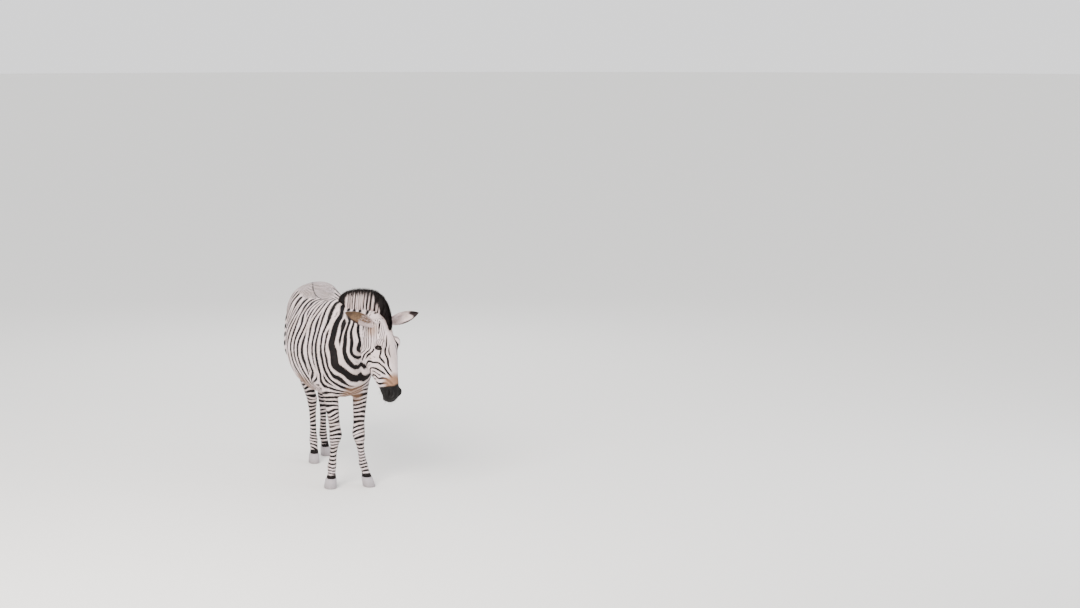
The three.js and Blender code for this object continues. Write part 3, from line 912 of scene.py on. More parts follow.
# Guides of the head's stripes, in the head's frame: number, across, down, forward.
HEAD_GUIDES = (
    (0, 0.070, 0.150, -0.150), (0, 0.000, 0.220, 0.058), (0, 0.000, 0.360, 0.050),
    (0.3, 0.000, 0.100, 0.046), (1, 0.030, 0.170, 0.050), (1, 0.033, 0.240, 0.048),
    (1, 0.028, 0.350, 0.038), (1, 0.091, 0.180, -0.110), (1, 0.085, 0.220, -0.150),
    (2, 0.034, 0.100, 0.040), (2, 0.044, 0.170, 0.048), (2, 0.058, 0.230, 0.040), (2, 0.042, 0.300, 0.035),
    (2, 0.094, 0.150, -0.067), (2, 0.092, 0.210, -0.110), (3, 0.052, 0.100, 0.032),
    (3, 0.077, 0.160, 0.046), (3, 0.084, 0.100, -0.015), (3, 0.098, 0.170, -0.044),
    (3, 0.044, 0.360, 0.022), (3, 0.062, 0.310, 0.012), (3, 0.078, 0.280, -0.003),
    (3, 0.092, 0.260, -0.043), (3, 0.096, 0.240, -0.075), (3, 0.089, 0.260, -0.126),
    (3, 0.018, 0.020, 0.014), (3, 0.056, 0.030, -0.010), (3.3, 0.090, 0.235, 0.000),
    (3.6, 0.100, 0.190, 0.010), (4, 0.058, 0.080, 0.024), (4, 0.093, 0.160, 0.030),
    (4, 0.076, 0.100, 0.006), (4, 0.093, 0.160, -0.005), (4, 0.052, 0.370, 0.009),
    (4, 0.075, 0.310, -0.025), (4, 0.085, 0.300, -0.070), (4, 0.085, 0.290, -0.112),
    (4, 0.072, 0.310, -0.149), (4.4, 0.082, 0.120, 0.018), (5, 0.049, 0.410, 0.006),
    (5, 0.067, 0.370, -0.035), (5, 0.076, 0.340, -0.085), (5, 0.057, 0.370, -0.139),
    (5, 0.000, 0.400, -0.150), (6, 0.052, 0.430, -0.004), (6, 0.058, 0.420, -0.064),
    (6, 0.061, 0.390, -0.110), (7, 0.055, 0.460, -0.050), (7, 0.045, 0.440, -0.112),
    (8, 0.040, 0.490, -0.080),
)
GUIDE_SOFTNESS = 1e-6     # how far the stripes may pass beside their guides, against the guides' spread
# The usual spacing of the stripes, in metres. Where they run much further apart, new ones grow between.
BODY_PITCH, NECK_PITCH, HEAD_PITCH, CROUP_PITCH = 0.048, 0.038, 0.024, 0.021
WIDEST = 2.3              # spacings beyond this many usual ones count as this many
COMPARE = 0.004           # how far apart the places are that spacings are measured between
MUZZLE_DARK = 0.482       # how far down the head the bare dark skin starts
HOOF_BLACK = 0.098        # up to this height the legs are black


def guided(guides):
    """A smooth number over space through guides of a number and a place: cubic radial functions."""
    table = np.array(guides)
    numbers, centres = table[:, 0], table[:, 1:]
    count = len(centres)
    bends = np.linalg.norm(centres[:, None] - centres[None], axis=2) ** 3 + GUIDE_SOFTNESS * np.eye(count)
    plane = np.column_stack([np.ones(count), centres])
    system = np.block([[bends, plane], [plane.T, np.zeros((4, 4))]])
    weights = np.linalg.solve(system, np.append(numbers, np.zeros(4)))

    def number(points):
        """The number at each of the points."""
        total = weights[count] + points @ weights[count + 1:]
        for centre, weight in zip(centres, weights):
            total = total + weight * np.linalg.norm(points - centre, axis=1) ** 3
        return total
    return number


BODY_FIELD, HEAD_FIELD = guided(BODY_GUIDES), guided(HEAD_GUIDES)


def neck_slope(y):
    """How fast the bent neck drifts sideways, against its way forward."""
    return np.interp(y, (-0.30, -0.05), (-0.30, 0.0))


def unbent(points):
    """Places beside the spine: signed distance from it, place along it, height."""
    x, y, z = points.T
    aside = x - spine_x(y)
    slope = neck_slope(y)
    return np.stack([aside, y + aside * slope / (1 + slope ** 2), z], 1)


# The legs' bands: where they start, how many lie in a metre there, how much closer they draw further down,
# and about how far apart they are on the middle of a leg.
LEG_TOP = {True: 0.79, False: 0.72}
LEG_BANDS, LEG_BANDS_CLOSER, LEG_PITCH = 27, 11, 0.030


def leg_numbers(points):
    """Numbers of the leg bands and how far each point belongs to a leg."""
    x, y, z = points.T
    number, share, nearest = np.zeros(len(points)), np.zeros(len(points)), np.full(len(points), 9.0)
    for i, name in enumerate(LIMBS):
        fore = name.startswith("foreleg")
        line_x, line_y = limb_line(name, z)
        gap = np.hypot(x - line_x, y - line_y)
        outward = (np.abs(x) - np.abs(line_x)) * ramp(0.50, 0.72, z) * fore
        below = LEG_TOP[fore] - z + 0.45 * outward
        twist = ripple(points * (0, 0, 1), 0.30, 60 + i)
        bands = LEG_BANDS * below + LEG_BANDS_CLOSER * below ** 2
        bands += 0.40 * ripple(points, 0.075, 40 + i)
        bands += 14 * (x - line_x) * twist * ramp(0.0, 0.1, below)
        bands = 2.5 + bands if fore else 12 - bands
        reach = np.interp(z, (0.58, 0.70), (0.40, 0.10 if fore else 0.17))
        belongs = ramp(LEG_TOP[fore] + 0.06, LEG_TOP[fore] - 0.08, z)
        belongs *= ramp(reach + 0.08, reach, np.abs(y - line_y))
        belongs *= ramp(0.14, 0.08, np.abs(x - line_x) * ramp(0.55, 0.65, z))
        closer = gap < nearest
        nearest = np.minimum(nearest, gap)
        number, share = np.where(closer, bands, number), np.where(closer, belongs, share)
    return number, share


def head_share(points):
    """How far each point belongs to the head's stripes."""
    across, down, forward = in_head(points).T
    share = ramp(-0.010, 0.010, forward + 0.085 + 0.63 * down) * ramp(-0.03, 0.01, down)
    return share * ramp(0.30, 0.25, np.hypot(across, forward + 0.08))


BREAST_TURN = 0.055       # how far the turned neck draws the breast's middle line to the right
HEAD_FIRST = -10          # the head's stripe 0 in the body's count
# On each side the forehead's stripes lie in loops round a line from the poll to the eye.
FOREHEAD_RIDGE = np.array([
    (0.024, -0.03, 0.000), (0.034, 0.02, 0.010), (0.062, 0.08, 0.016), (0.086, 0.13, 0.018),
    (0.095, 0.16, 0.018), (0.100, 0.19, 0.010)])
# The stripe on that line, the loops' spacing, how far it holds, and the spacing beyond.
FOREHEAD_TOP, FOREHEAD_PITCH, FOREHEAD_LOOPS, TEMPLE_PITCH = 6.4, 0.0120, 0.045, 0.026


def stripe_numbers(points):
    """The stripes' number at each point: whole on a black stripe's middle."""
    aside, along, z = unbent(points).T
    aside = aside + BREAST_TURN * ramp(-0.05, -0.17, along) * ramp(1.15, 0.95, z)
    number = BODY_FIELD(np.stack([np.abs(aside), along, z], 1))
    bands, on_leg = leg_numbers(points)
    across, down, forward = in_head(points).T
    half = np.stack([np.abs(across), down, forward], 1)
    beside = distance_to(half, FOREHEAD_RIDGE)
    loops = np.minimum(beside, FOREHEAD_LOOPS) / FOREHEAD_PITCH
    forehead = FOREHEAD_TOP - (loops + np.maximum(beside - FOREHEAD_LOOPS, 0) / TEMPLE_PITCH)
    upper = ramp(0.235, 0.185, down)
    face = HEAD_FIELD(half) * (1 - upper) + forehead * upper + HEAD_FIRST
    on_head = head_share(points)
    number = number * (1 - on_leg) + bands * on_leg
    return number * (1 - on_head) + face * on_head


def markings(points, normals):
    """The stripes and patches at places of the skin, as smooth numbers that the coat's material reads.

    phase is whole on the middle of a black stripe, pitch is the stripes' spacing in millimetres, fork
    says how often they split, black is the black share of a spacing. grid and grid_black are phase and
    black of the croup's bars, and line is how far inside a single black line or sock a place lies, in
    millimetres. rust and bare are the shares of rust hair and of bare dark skin.
    """
    phase = stripe_numbers(points)
    true_pitch = spacing(points, normals, phase)
    on_head = head_share(points)
    legs = leg_numbers(points)[1] * (1 - on_head)
    down = in_head(points)[:, 1]
    brow = on_head * ramp(0.235, 0.185, down)
    usual = usual_pitch(points, on_head, legs, brow)
    pitch = np.minimum(true_pitch, WIDEST * usual)
    fork = np.log2(pitch / usual) - 0.25 - 1.0 * np.exp(-((phase + 0.4) / 1.2) ** 2) * (1 - legs)
    fork = fork * (1 - legs) + (0.1 + 0.35 * ripple(points, 0.09, 17)) * legs
    fork = np.clip(fork * (1 - brow), -1, 1)
    on_grid = croup_share(points)
    black = black_share(points, normals, phase, on_head, legs, brow) * (pitch / true_pitch) * (1 - on_grid)
    phase = phase + 0.07 * ripple(points, 0.10, 5) * (1 - on_head) + 0.05 * ripple(points, 0.03, 6) * on_head
    grid = unbent(points)[:, 1] / CROUP_PITCH + 0.4 * ripple(points, 0.10, 9)
    bare = on_head * ramp(-0.008, 0.008, down - MUZZLE_DARK + 0.006 * ripple(points, 0.03, 8))
    return {"phase": phase, "pitch": pitch * 1000, "fork": fork, "black": black, "grid": grid,
            "grid_black": 0.60 * on_grid, "line": single_lines(points), "rust": rust_share(points),
            "bare": bare}


def usual_pitch(points, on_head, legs, brow):
    """The usual spacing of the stripes at each place."""
    along = unbent(points)[:, 1]
    usual = np.interp(along, (-0.4, -0.15, 0.0), (NECK_PITCH, NECK_PITCH, BODY_PITCH))
    usual = usual * (1 - legs) + LEG_PITCH * legs
    usual = usual * (1 - on_head) + HEAD_PITCH * on_head
    return usual * (1 - brow) + 1.4 * FOREHEAD_PITCH * brow


def black_share(points, normals, phase, on_head, legs, brow):
    """How much of the stripes' spacing is black: most on shoulder and legs, none on the belly and blaze."""
    _, along, z = unbent(points).T
    across, down, forward = in_head(points).T
    black = 0.54 + 0.05 * np.exp(-((phase + 0.5) / 1.0) ** 2) * (1 - legs) + 0.07 * ramp(0.85, 0.65, z)
    black += 0.04 * ramp(0.0, -0.12, along) + 0.04 * ramp(0.25, 0.6, along)
    black = black * (1 - on_head) + (0.50 - 0.06 * brow) * on_head
    belly = ramp(-0.45, -0.9, normals[:, 2]) * ramp(0.02, 0.12, along) * ramp(0.5, 0.6, z) * (1 - on_head)
    black *= 1 - belly
    behind_jaw = 4 * on_head * (1 - on_head)     # where head and neck meet
    black *= 1 - ramp(0.0, 0.5, behind_jaw)
    blaze = ramp(0.040, 0.022, np.abs(across)) * ramp(-0.02, 0.02, forward) * on_head
    black *= 1 - blaze * (0.7 + 0.3 * ramp(0.20, 0.26, down))
    from_eye = np.linalg.norm(np.stack([np.abs(across), down, forward], 1) - EYE, axis=1)
    return black * ramp(0.019, 0.027, from_eye)


def spacing(points, normals, phase):
    """How far apart the stripes lie at each place of the skin, measured along the skin."""
    slopes = [(stripe_numbers(points + COMPARE * axis) - phase) / COMPARE for axis in np.eye(3)]
    slopes = np.stack(slopes, 1)
    slopes -= normals * (slopes * normals).sum(1)[:, None]
    return 1 / np.maximum(np.linalg.norm(slopes, axis=1), 1.0)


def croup_share(points):
    """How far each point belongs to the narrow bars across the croup."""
    aside, along, z = unbent(points).T
    edge = np.interp(along, (0.52, 0.68, 0.95, 1.08), (0.0, 0.12, 0.14, 0.06))
    edge = edge + 0.01 * ripple(points, 0.04, 3)
    share = ramp(edge + 0.015, edge - 0.015, np.abs(aside))
    return share * ramp(1.1, 1.2, z) * ramp(0.52, 0.60, along)


def single_lines(points):
    """How far inside the line along the spine, or the black hair over a hoof, each point lies."""
    aside, along, z = unbent(points).T
    dorsal = np.interp(along, (0.50, 0.65, 0.76, 0.87, 1.0), (-0.012, -0.039, -0.038, -0.018, 0.0))
    line = 5.5 - 1000 * np.abs(aside - dorsal) - 40 * ramp(0.16, 0.08, along) - 60 * ramp(1.15, 1.05, z)
    return np.maximum(line, 1000 * (HOOF_BLACK - z) + 4 * ripple(points, 0.03, 12))


def rust_share(points):
    """How rusty the hair is: above the muzzle, beside the ears, between the forelegs, low on the flank."""
    aside, along, z = unbent(points).T
    across, down, forward = in_head(points).T
    on_head = head_share(points)
    y = points[:, 1]
    nose = on_head * ramp(0.385, 0.44, down + 0.01 * ripple(points, 0.05, 14))
    nose *= ramp(-0.045, 0.005, forward)
    by_ear = np.linalg.norm(np.stack([np.abs(across) - 0.078, down - 0.085, forward + 0.035], 1), axis=1)
    head = np.maximum(nose, 0.55 * ramp(0.055, 0.015, by_ear))
    low = ramp(0.60, 0.66, z)
    breast = ramp(0.78, 0.72, z) * low * ramp(0.10, 0.05, np.abs(aside)) * ramp(0.05, -0.03, along)
    flank = ramp(0.80, 0.73, z + 0.02 * ripple(points, 0.12, 15)) * low
    flank *= ramp(0.12, 0.30, y) * ramp(1.0, 0.85, y)
    ochre = np.maximum(breast, 0.8 * flank * (1 - on_head))
    return np.maximum(head, 0.8 * ochre)


def mark(item):
    """Stores the markings on a piece's vertices."""
    for name, values in markings(points_of(item), normals_of(item)).items():
        put_value(item, name, values)


# ---- The coat ----

MARKS = ("phase", "pitch", "fork", "black", "grid", "grid_black", "line", "rust", "bare")
TUFTS = 640000
MOST_TRIANGLES = 200000   # in one piece
TUFT_PATCH = 0.0015       # half the width of a tuft's patch on the skin's unwrap
DENSITY_HEAD, DENSITY_LEG = 3.0, 1.6                     # against that of the body
TUFT_WIDE, TUFT_LONG = (0.13, 0.19), (0.75, 1.1)         # least and most, against the hair's length
TUFT_LIFT, TUFT_SWAY, TUFT_ROOTED = (0.05, 0.15), 0.16, 0.0008
BARE_TUFTS = 0.25         # the share of tufts that stay on the bare skin of the muzzle


def lie(points, normals):
    """The way the hair lies at each point of the skin, along its surface."""
    head = head_share(points)[:, None]
    legs = ramp(0.95, 0.70, points[:, 2])[:, None]
    aside, along, _ = unbent(points).T
    neck = ramp(0.0, -0.12, along)
    back = np.stack([neck_slope(along), np.ones(len(points)), np.full(len(points), -0.45)], 1)
    back[:, 2] -= 1.0 * neck * ramp(0.1, 0.6, np.abs(normals[:, 0]))
    breast = ramp(-0.2, -0.8, normals[:, 1])[:, None] * ramp(0.0, -0.1, along)[:, None]
    tail = ramp(1.15, 1.19, points[:, 1])[:, None]
    ridge = ramp(0.02, 0.012, np.abs(aside)) * ramp(0.16, 0.22, along) * ramp(1.0, 0.9, along)
    back[:, 1] *= 1 - 2 * ridge
    fall = np.clip(legs + breast + tail, 0, 1)
    way = back * (1 - fall) + np.array([0, 0.12, -1.0]) * fall
    face = HEAD_AXES @ np.array([0, 0.25, -1.0])
    way = way * (1 - head) + face * head
    way -= normals * (way * normals).sum(1)[:, None]
    return unit(way)


def skin_arrays(skin):
    """The skin's corners, places, normals, unwrap and markings as arrays."""
    mesh = skin.data
    corners = np.empty(len(mesh.loops), np.int32)
    mesh.loops.foreach_get("vertex_index", corners)
    spread = np.empty(len(mesh.loops) * 2, np.float32)
    mesh.uv_layers["OFBake"].data.foreach_get("uv", spread)
    marks = []
    for name in MARKS:
        values = np.empty(len(mesh.vertices), np.float32)
        mesh.attributes[name].data.foreach_get("value", values)
        marks.append(values)
    return (corners.reshape(-1, 3), points_of(skin), normals_of(skin), spread.reshape(-1, 3, 2),
            np.stack(marks, 1))


def scattered(skin, count, rng):
    """Places spread at random over the skin, closer together on head and legs, with all they inherit."""
    corners, points, normals, spread, marks = skin_arrays(skin)
    a, b, c = (points[corners[:, k]] for k in range(3))
    middle_of = (a + b + c) / 3
    head, legs = part_weights(middle_of)
    weight = np.linalg.norm(np.cross(b - a, c - a), axis=1)
    weight *= 1 + (DENSITY_HEAD - 1) * head + (DENSITY_LEG - 1) * legs
    total = np.cumsum(weight)
    face = np.searchsorted(total, rng.uniform(0, total[-1], count))
    u, v = rng.uniform(0, 1, (2, count))
    over = u + v > 1
    u, v = np.where(over, 1 - u, u), np.where(over, 1 - v, v)
    shares = np.stack([1 - u - v, u, v], 1)

    def mixed(values):
        """Values of three corners, mixed for each place."""
        return (values * shares[:, :, None]).sum(1)
    own = corners[face]
    return mixed(points[own]), unit(mixed(normals[own])), mixed(spread[face]), mixed(marks[own])


def hair_length(points):
    """The length of the coat's hair at each point."""
    size = sizes()
    head, legs = part_weights(points)
    jaw = head * ramp(-0.10, -0.16, in_head(points)[:, 2])
    length = size.body_hair * (1 - legs) + size.leg_hair * legs
    length = length * (1 - head) + size.face_hair * head
    croup = ramp(0.18, 0.12, np.abs(unbent(points)[:, 0])) * ramp(0.5, 0.6, points[:, 1])
    croup *= ramp(1.1, 1.2, points[:, 2])
    length = length * (1 - 0.4 * croup) * (1 - 0.15 * ramp(0.3, 0.7, points[:, 1]))
    return length * (1 + 0.7 * jaw)


def tuft_mesh(name, roots, normals, ways, lengths, patch, marks, rng):
    """A joined mesh of small ridged tufts that lie along the skin, with painted shade at their roots and
    painted light at their tips.
    """
    count = len(roots)
    side = np.cross(normals, ways)
    sway = rng.normal(0, TUFT_SWAY, count)[:, None]
    ways = unit(ways + side * sway)
    side = np.cross(normals, ways)
    width = (lengths * rng.uniform(*TUFT_WIDE, count))[:, None]
    lengths = (lengths * rng.uniform(*TUFT_LONG, count))[:, None]
    lift = rng.uniform(*TUFT_LIFT, count)[:, None]
    start = roots - normals * TUFT_ROOTED
    belly = roots + ways * lengths * 0.45 + normals * lengths * 0.035
    tip = roots + ways * lengths + normals * lengths * lift
    parts = np.stack([start, belly - side * width / 2, tip, belly + side * width / 2], 1)
    faces = (np.arange(count)[:, None, None] * 4 + np.array([[0, 2, 1], [0, 3, 2]])[None]).reshape(-1, 3)
    item = new_mesh(name, parts.reshape(-1, 3), faces)
    cornered = patch[:, None] + TUFT_PATCH * np.array([[0, -1], [-1, 0], [0, 1], [1, 0]])[None]
    put_unwrap(item, cornered.reshape(-1, 2))
    for key, values in zip(MARKS, marks.T):
        put_value(item, key, np.repeat(values, 4))
    # Each tuft's shade: a random tone, with painted shade at the root (-0.22) and painted light at the tip
    # (+0.12).
    tone = rng.normal(0.5, 0.16, count)[:, None] + np.array([-0.22, 0.0, 0.12, 0.0])[None]
    put_value(item, "shade", np.clip(tone, 0, 1).ravel())
    smooth_shade(item)
    return item


def coat_regions(points):
    """The coat's pieces, as the places that belong to each."""
    head, legs = part_weights(points)
    x, y, z = points.T
    on_head, on_legs = head > 0.5, (z < 0.78) & (legs > 0.1)
    rest = ~on_head & ~on_legs
    neck = rest & (y < -0.12)
    right = x < spine_x(y)
    trunk = rest & ~neck
    regions = {"coat_head": on_head, "coat_neck": neck}
    for pair, chosen in (("foreleg", on_legs & (y < 0.45)), ("hindleg", on_legs & (y >= 0.45))):
        between = (limb_line(pair + "_right", z)[0] + limb_line(pair + "_left", z)[0]) / 2
        regions[f"coat_{pair}_right"] = chosen & (x < between)
        regions[f"coat_{pair}_left"] = chosen & (x >= between)
    return regions | {
        "coat_shoulder_right": trunk & right & (y < 0.40), "coat_shoulder_left": trunk & ~right & (y < 0.40),
        "coat_haunch_right": trunk & right & (y >= 0.40), "coat_haunch_left": trunk & ~right & (y >= 0.40),
    }


class ZEBRA_OT_coat(bpy.types.Operator):
    """Lay the short coat over the skin, tuft by tuft, along the lie of the hair"""

    bl_idname = "zebra.coat"
    bl_label = "Coat"

    def execute(self, context):
        rng = np.random.default_rng(11)
        skin = bpy.data.objects["skin"]
        roots, normals, patch, marks = scattered(skin, TUFTS, rng)
        by_eye = beside_eye(roots) < EYE_CLEAR
        bare = marks[:, MARKS.index("bare")] > 0.5
        kept = ~by_eye & ~(bare & (rng.uniform(0, 1, len(roots)) > BARE_TUFTS))
        ways = lie(roots, normals)
        lengths = hair_length(roots) * np.where(bare, 0.6, 1.0)
        for name, chosen in coat_regions(roots).items():
            chosen &= kept
            if 2 * chosen.sum() >= MOST_TRIANGLES:
                raise RuntimeError(f"{name} has {2 * chosen.sum()} triangles")
            tufts = tuft_mesh(name, roots[chosen], normals[chosen], ways[chosen], lengths[chosen],
                              patch[chosen], marks[chosen], rng)
            dress(tufts, skin.data.materials[0], "coat")
        return {"FINISHED"}


# ---- Eyes, lids and lashes ----

CORNEA_RISE = 0.0014      # how far the clear front of the eye stands out of the ball
PUPIL_WIDE, PUPIL_HIGH = 0.42, 0.20                        # half sizes, against the ball's radius
LID_RADIUS = EYE_RADIUS + 0.0014                           # of the ball that the lids lie on
LID_TUFTS, LID_HAIR = 7000, 0.0045
LASHES, LASH_LENGTH = 130, (0.009, 0.016)
RIM_SHARE = 0.28                                           # how far out the bare dark rims reach
# The lids' opening from its middle: half width, height above and below; and where they run out on the face.
OPENING_WIDE, OPENING_ABOVE, OPENING_BELOW = 0.0172, 0.0105, 0.0085
SOCKET_WIDE, SOCKET_HIGH = 0.046, 0.038
LID_COLUMNS, LID_ROWS, LID_TURNED_IN = 96, 26, 2
EYE_CLEAR = 0.030                                          # no hair of the coat grows within


def eye_axes(side):
    """Where an eye looks, and its level and upright axes, in the zebra's frame."""
    gaze = unit(HEAD_AXES @ np.array([side * 0.90, -0.36, 0.12]))
    up = HEAD_AXES @ np.array([0, -0.25, 1.0])
    up = unit(up - gaze * (up @ gaze))
    return gaze, np.cross(up, gaze), up


def eye_place(side):
    """An eye's centre with its outward, level and upward axes, in the zebra's frame."""
    gaze, level, up = eye_axes(side)
    return from_head(side * EYE[0], EYE[1], EYE[2]) - gaze * EYE_SINK, gaze, level, up


def beside_eye(points):
    """How far each point in front of an eye stands from that eye's middle line."""
    aside = np.full(len(points), 9.0)
    for side in (-1, 1):
        centre, gaze, _, _ = eye_place(side)
        away = points - centre
        along = away @ gaze
        across = np.linalg.norm(away - along[:, None] * gaze, axis=1)
        own = (across < aside) & (along > -0.02) & (along < 0.06)
        aside = np.where(own, across, aside)
    return aside


def ball_height(reach):
    """How high the ball under the lids stands at a reach from the eye's middle line."""
    return np.sqrt(np.maximum(LID_RADIUS ** 2 - reach ** 2, 0))


class ZEBRA_OT_eyes(bpy.types.Operator):
    """Set both eyes in the head, with a level pupil in a dark iris"""

    bl_idname = "zebra.eyes"
    bl_label = "Eyes"

    def execute(self, context):
        material = eye_material()
        for side, name in ((-1, "eye_right"), (1, "eye_left")):
            centre, gaze, level, up = eye_place(side)
            bpy.ops.object.select_all(action="DESELECT")
            bpy.ops.mesh.primitive_uv_sphere_add(
                segments=48, ring_count=32, radius=EYE_RADIUS, location=centre + HOME)
            bpy.ops.object.transform_apply(location=True, rotation=False, scale=False)
            eye = context.active_object
            eye.name = eye.data.name = name + "ball"
            points = points_of(eye)
            local = (points - centre) / EYE_RADIUS
            right, high, out = local @ level, local @ up, local @ gaze
            spread = np.hypot(right, high)
            bulge = ramp(0.62, 0.0, spread) * (out > 0)
            set_points(eye, points + unit(local) * (bulge * CORNEA_RISE)[:, None])
            from_pupil = np.hypot(right / PUPIL_WIDE, high / PUPIL_HIGH)
            put_value(eye, "pupil", (out > 0) * ramp(1.15, 0.95, from_pupil))
            put_value(eye, "white", ramp(0.64, 0.74, spread) + (out < 0))
            smooth_shade(eye)
            dress(eye, material, "eye", name)
        return {"FINISHED"}


class ZEBRA_OT_lids(bpy.types.Operator):
    """Lay dark-rimmed lids with creases over both eyes and plant their hair and lashes"""

    bl_idname = "zebra.lids"
    bl_label = "Lids and lashes"

    def execute(self, context):
        skin = bpy.data.objects["skin"]
        face = surface_of(skin)
        for side, name in ((-1, "right"), (1, "left")):
            lids = lids_of(side, name, face)
            dress(lids, skin.data.materials[0], "coat")
            dress(lid_hair(side, name, lids), skin.data.materials[0], "coat")
            dress(lashes_of(side, name), mane_material(), "long_hair")
        return {"FINISHED"}


def face_round_eye(side, starts, face):
    """How high the face stands below the starts, over the eye's centre, evened out round the eye."""
    centre, gaze, _, _ = eye_place(side)
    hits = [face.ray_cast(tuple(start), tuple(-gaze), 0.12)[0] for start in starts]
    heights = np.array([(np.array(hit) - centre) @ gaze if hit else 0.0 for hit in hits])
    return sum(np.roll(heights, k) for k in range(-3, 4)) / 7


def lids_of(side, name, face):
    """Both lids of an eye as one ring, from the edge of their opening out to the face."""
    centre, gaze, level, up = eye_place(side)
    turn = np.linspace(0, 2 * math.pi, LID_COLUMNS, endpoint=False)
    c, s = np.cos(turn), np.sin(turn)
    upper = s > 0
    inner = 1 / np.hypot(c / OPENING_WIDE, s / np.where(upper, OPENING_ABOVE, OPENING_BELOW))
    outer = 1 / np.hypot(c / SOCKET_WIDE, s / SOCKET_HIGH)
    ways = np.outer(c, level) + np.outer(s, up)
    edge = np.sqrt(LID_RADIUS ** 2 - inner ** 2)
    brim = face_round_eye(side, centre + ways * outer[:, None] + gaze * 0.07, face)
    rows, rims = [], []
    for i in range(-LID_TURNED_IN, LID_ROWS):
        t = max(i, 0) / (LID_ROWS - 1)
        reach = inner + (outer - inner) * t ** 1.15
        share = ramp(0.0, 1.0, t)
        height = edge * (1 - share) + brim * share - 0.0015 * ramp(0.85, 1.0, t)
        height -= (0.0022 * upper + 0.0012 * ~upper) * math.exp(-((t - 0.36) / 0.06) ** 2)   # crease
        height += 0.0012 * upper * math.exp(-((t - 0.48) / 0.07) ** 2)                       # fold over it
        height = np.maximum(height, ball_height(reach) + 0.0008 * ramp(0.0, 0.1, t))
        height += 0.0016 * math.exp(-((t - 0.10) / 0.09) ** 2)                               # rim
        if i < 0:
            height += 0.0016 * i
            reach = reach * (1 + 0.012 * i)
        rows.append(centre + ways * reach[:, None] + gaze * height[:, None])
        rims.append(ramp(RIM_SHARE + 0.1, RIM_SHARE, t - 0.16 * np.abs(c) ** 3))
    points = np.concatenate(rows)
    here = np.arange(LID_COLUMNS)
    after = (here + 1) % LID_COLUMNS
    ring = np.stack([here, after, after + LID_COLUMNS, here + LID_COLUMNS], 1)
    quads = np.concatenate([ring + i * LID_COLUMNS for i in range(len(rows) - 1)])
    lids = new_mesh("lids_" + name, points, quads[:, ::-1] if side < 0 else quads)
    smooth_shade(lids)
    finish_with(lids, "TRIANGULATE")
    marks = markings(points, normals_of(lids)) | {"bare": np.concatenate(rims)}
    for key, values in marks.items():
        put_value(lids, key, values)
    put_value(lids, "shade", np.full(len(points), 0.5))
    away = points - centre
    put_unwrap(lids, 0.5 + np.stack([away @ level, away @ up], 1) * 6)
    return lids


def lid_hair(side, name, lids):
    """Short hair over the lids, outside their bare rims."""
    rng = np.random.default_rng(6)
    centre, gaze, _, _ = eye_place(side)
    roots, normals, patch, marks = scattered(lids, LID_TUFTS, rng)
    kept = np.linalg.norm(np.cross(roots - centre, gaze), axis=1) > 0.022
    roots, normals, patch, marks = roots[kept], normals[kept], patch[kept], marks[kept]
    lengths = np.full(len(roots), LID_HAIR)
    return tuft_mesh("lid_hair_" + name, roots, normals, lie(roots, normals), lengths, patch, marks, rng)


def lashes_of(side, name):
    """Dark lashes along the upper lid, pointing out and a little down."""
    rng = np.random.default_rng(5)
    centre, gaze, level, up = eye_place(side)
    at = rng.uniform(0.06, 0.94, LASHES) * math.pi
    reach = 1 / np.hypot(np.cos(at) / OPENING_WIDE, np.sin(at) / OPENING_ABOVE) + 0.0012
    outwards = np.outer(np.cos(at), level) + np.outer(np.sin(at), up)
    height = ball_height(reach) + 0.0008
    roots = centre + outwards * reach[:, None] + gaze * height[:, None]
    lean = outwards * 0.5 + gaze * 0.9 - up * 0.25 + rng.normal(0, 0.12, (LASHES, 3))
    long = rng.uniform(*LASH_LENGTH, LASHES)
    tips = roots + unit(lean) * long[:, None]
    return strands("lashes_" + name, roots, tips, -np.outer(long * 0.12, up), np.full(LASHES, 0.0007),
                   all_dark(LASHES))


# ---- Ears ----

# An ear's outline: share of its length, share of its full width, how far its rims close, in degrees.
EAR_SHAPE = np.array([
    (-0.10, 0.36, 150), (0.02, 0.52, 146), (0.12, 0.68, 132), (0.25, 0.86, 112), (0.42, 1.0, 98),
    (0.60, 0.95, 92), (0.76, 0.74, 88), (0.90, 0.42, 84), (0.97, 0.20, 80), (1.0, 0.04, 78)])
EAR_DEPTH, EAR_THICK = 0.036, 0.0036
EAR_ROWS, EAR_COLUMNS = 56, 41
EAR_HAIRS = 1500


class ZEBRA_OT_ears(bpy.types.Operator):
    """Shape both ears as thin cups on their solids' outline, with rims, bands and long inner hair"""

    bl_idname = "zebra.ears"
    bl_label = "Ears"

    def execute(self, context):
        material, hair = ear_material(), mane_material()
        for name in EARS:
            dress(ear_cup(name), material, "ear", name)
            dress(ear_fluff(name), hair, "long_hair")
        return {"FINISHED"}


def ear_frame(name):
    """An ear's root and its axes: across, out through its hollow, and along, in the zebra's frame."""
    root, along, faces = EARS[name]
    z = unit(np.array(along))
    x = unit(np.cross(np.array(faces), z))
    return from_head(*root), np.stack([x, np.cross(z, x), z], 1)


def ear_point(name, length_share, turn, inset):
    """Places on an ear: turn runs from -1 to 1 round the cup from rim to rim, inset goes into its hollow."""
    root, axes = ear_frame(name)
    shares, widths, closing = EAR_SHAPE.T
    near = 0.07 * (1 - np.clip(length_share, 0, 1)) + 0.01
    wide = sum(np.interp(length_share + near * k, shares, widths) for k in (-1, -0.5, 0, 0.5, 1)) / 5
    angle = turn * np.radians(np.interp(length_share, shares, closing))
    deep = EAR_DEPTH * (0.25 + 0.75 * wide)
    across = np.sin(angle) * (EAR_WIDTH / 2 * wide - inset)
    through = -np.cos(angle) * (deep - inset) * np.where(np.cos(angle) > 0, 1.0, 0.55)
    along = (length_share + 0.02 * np.cos(angle)) * EAR_LENGTH
    return root + np.stack([across, through, along], -1) @ axes.T


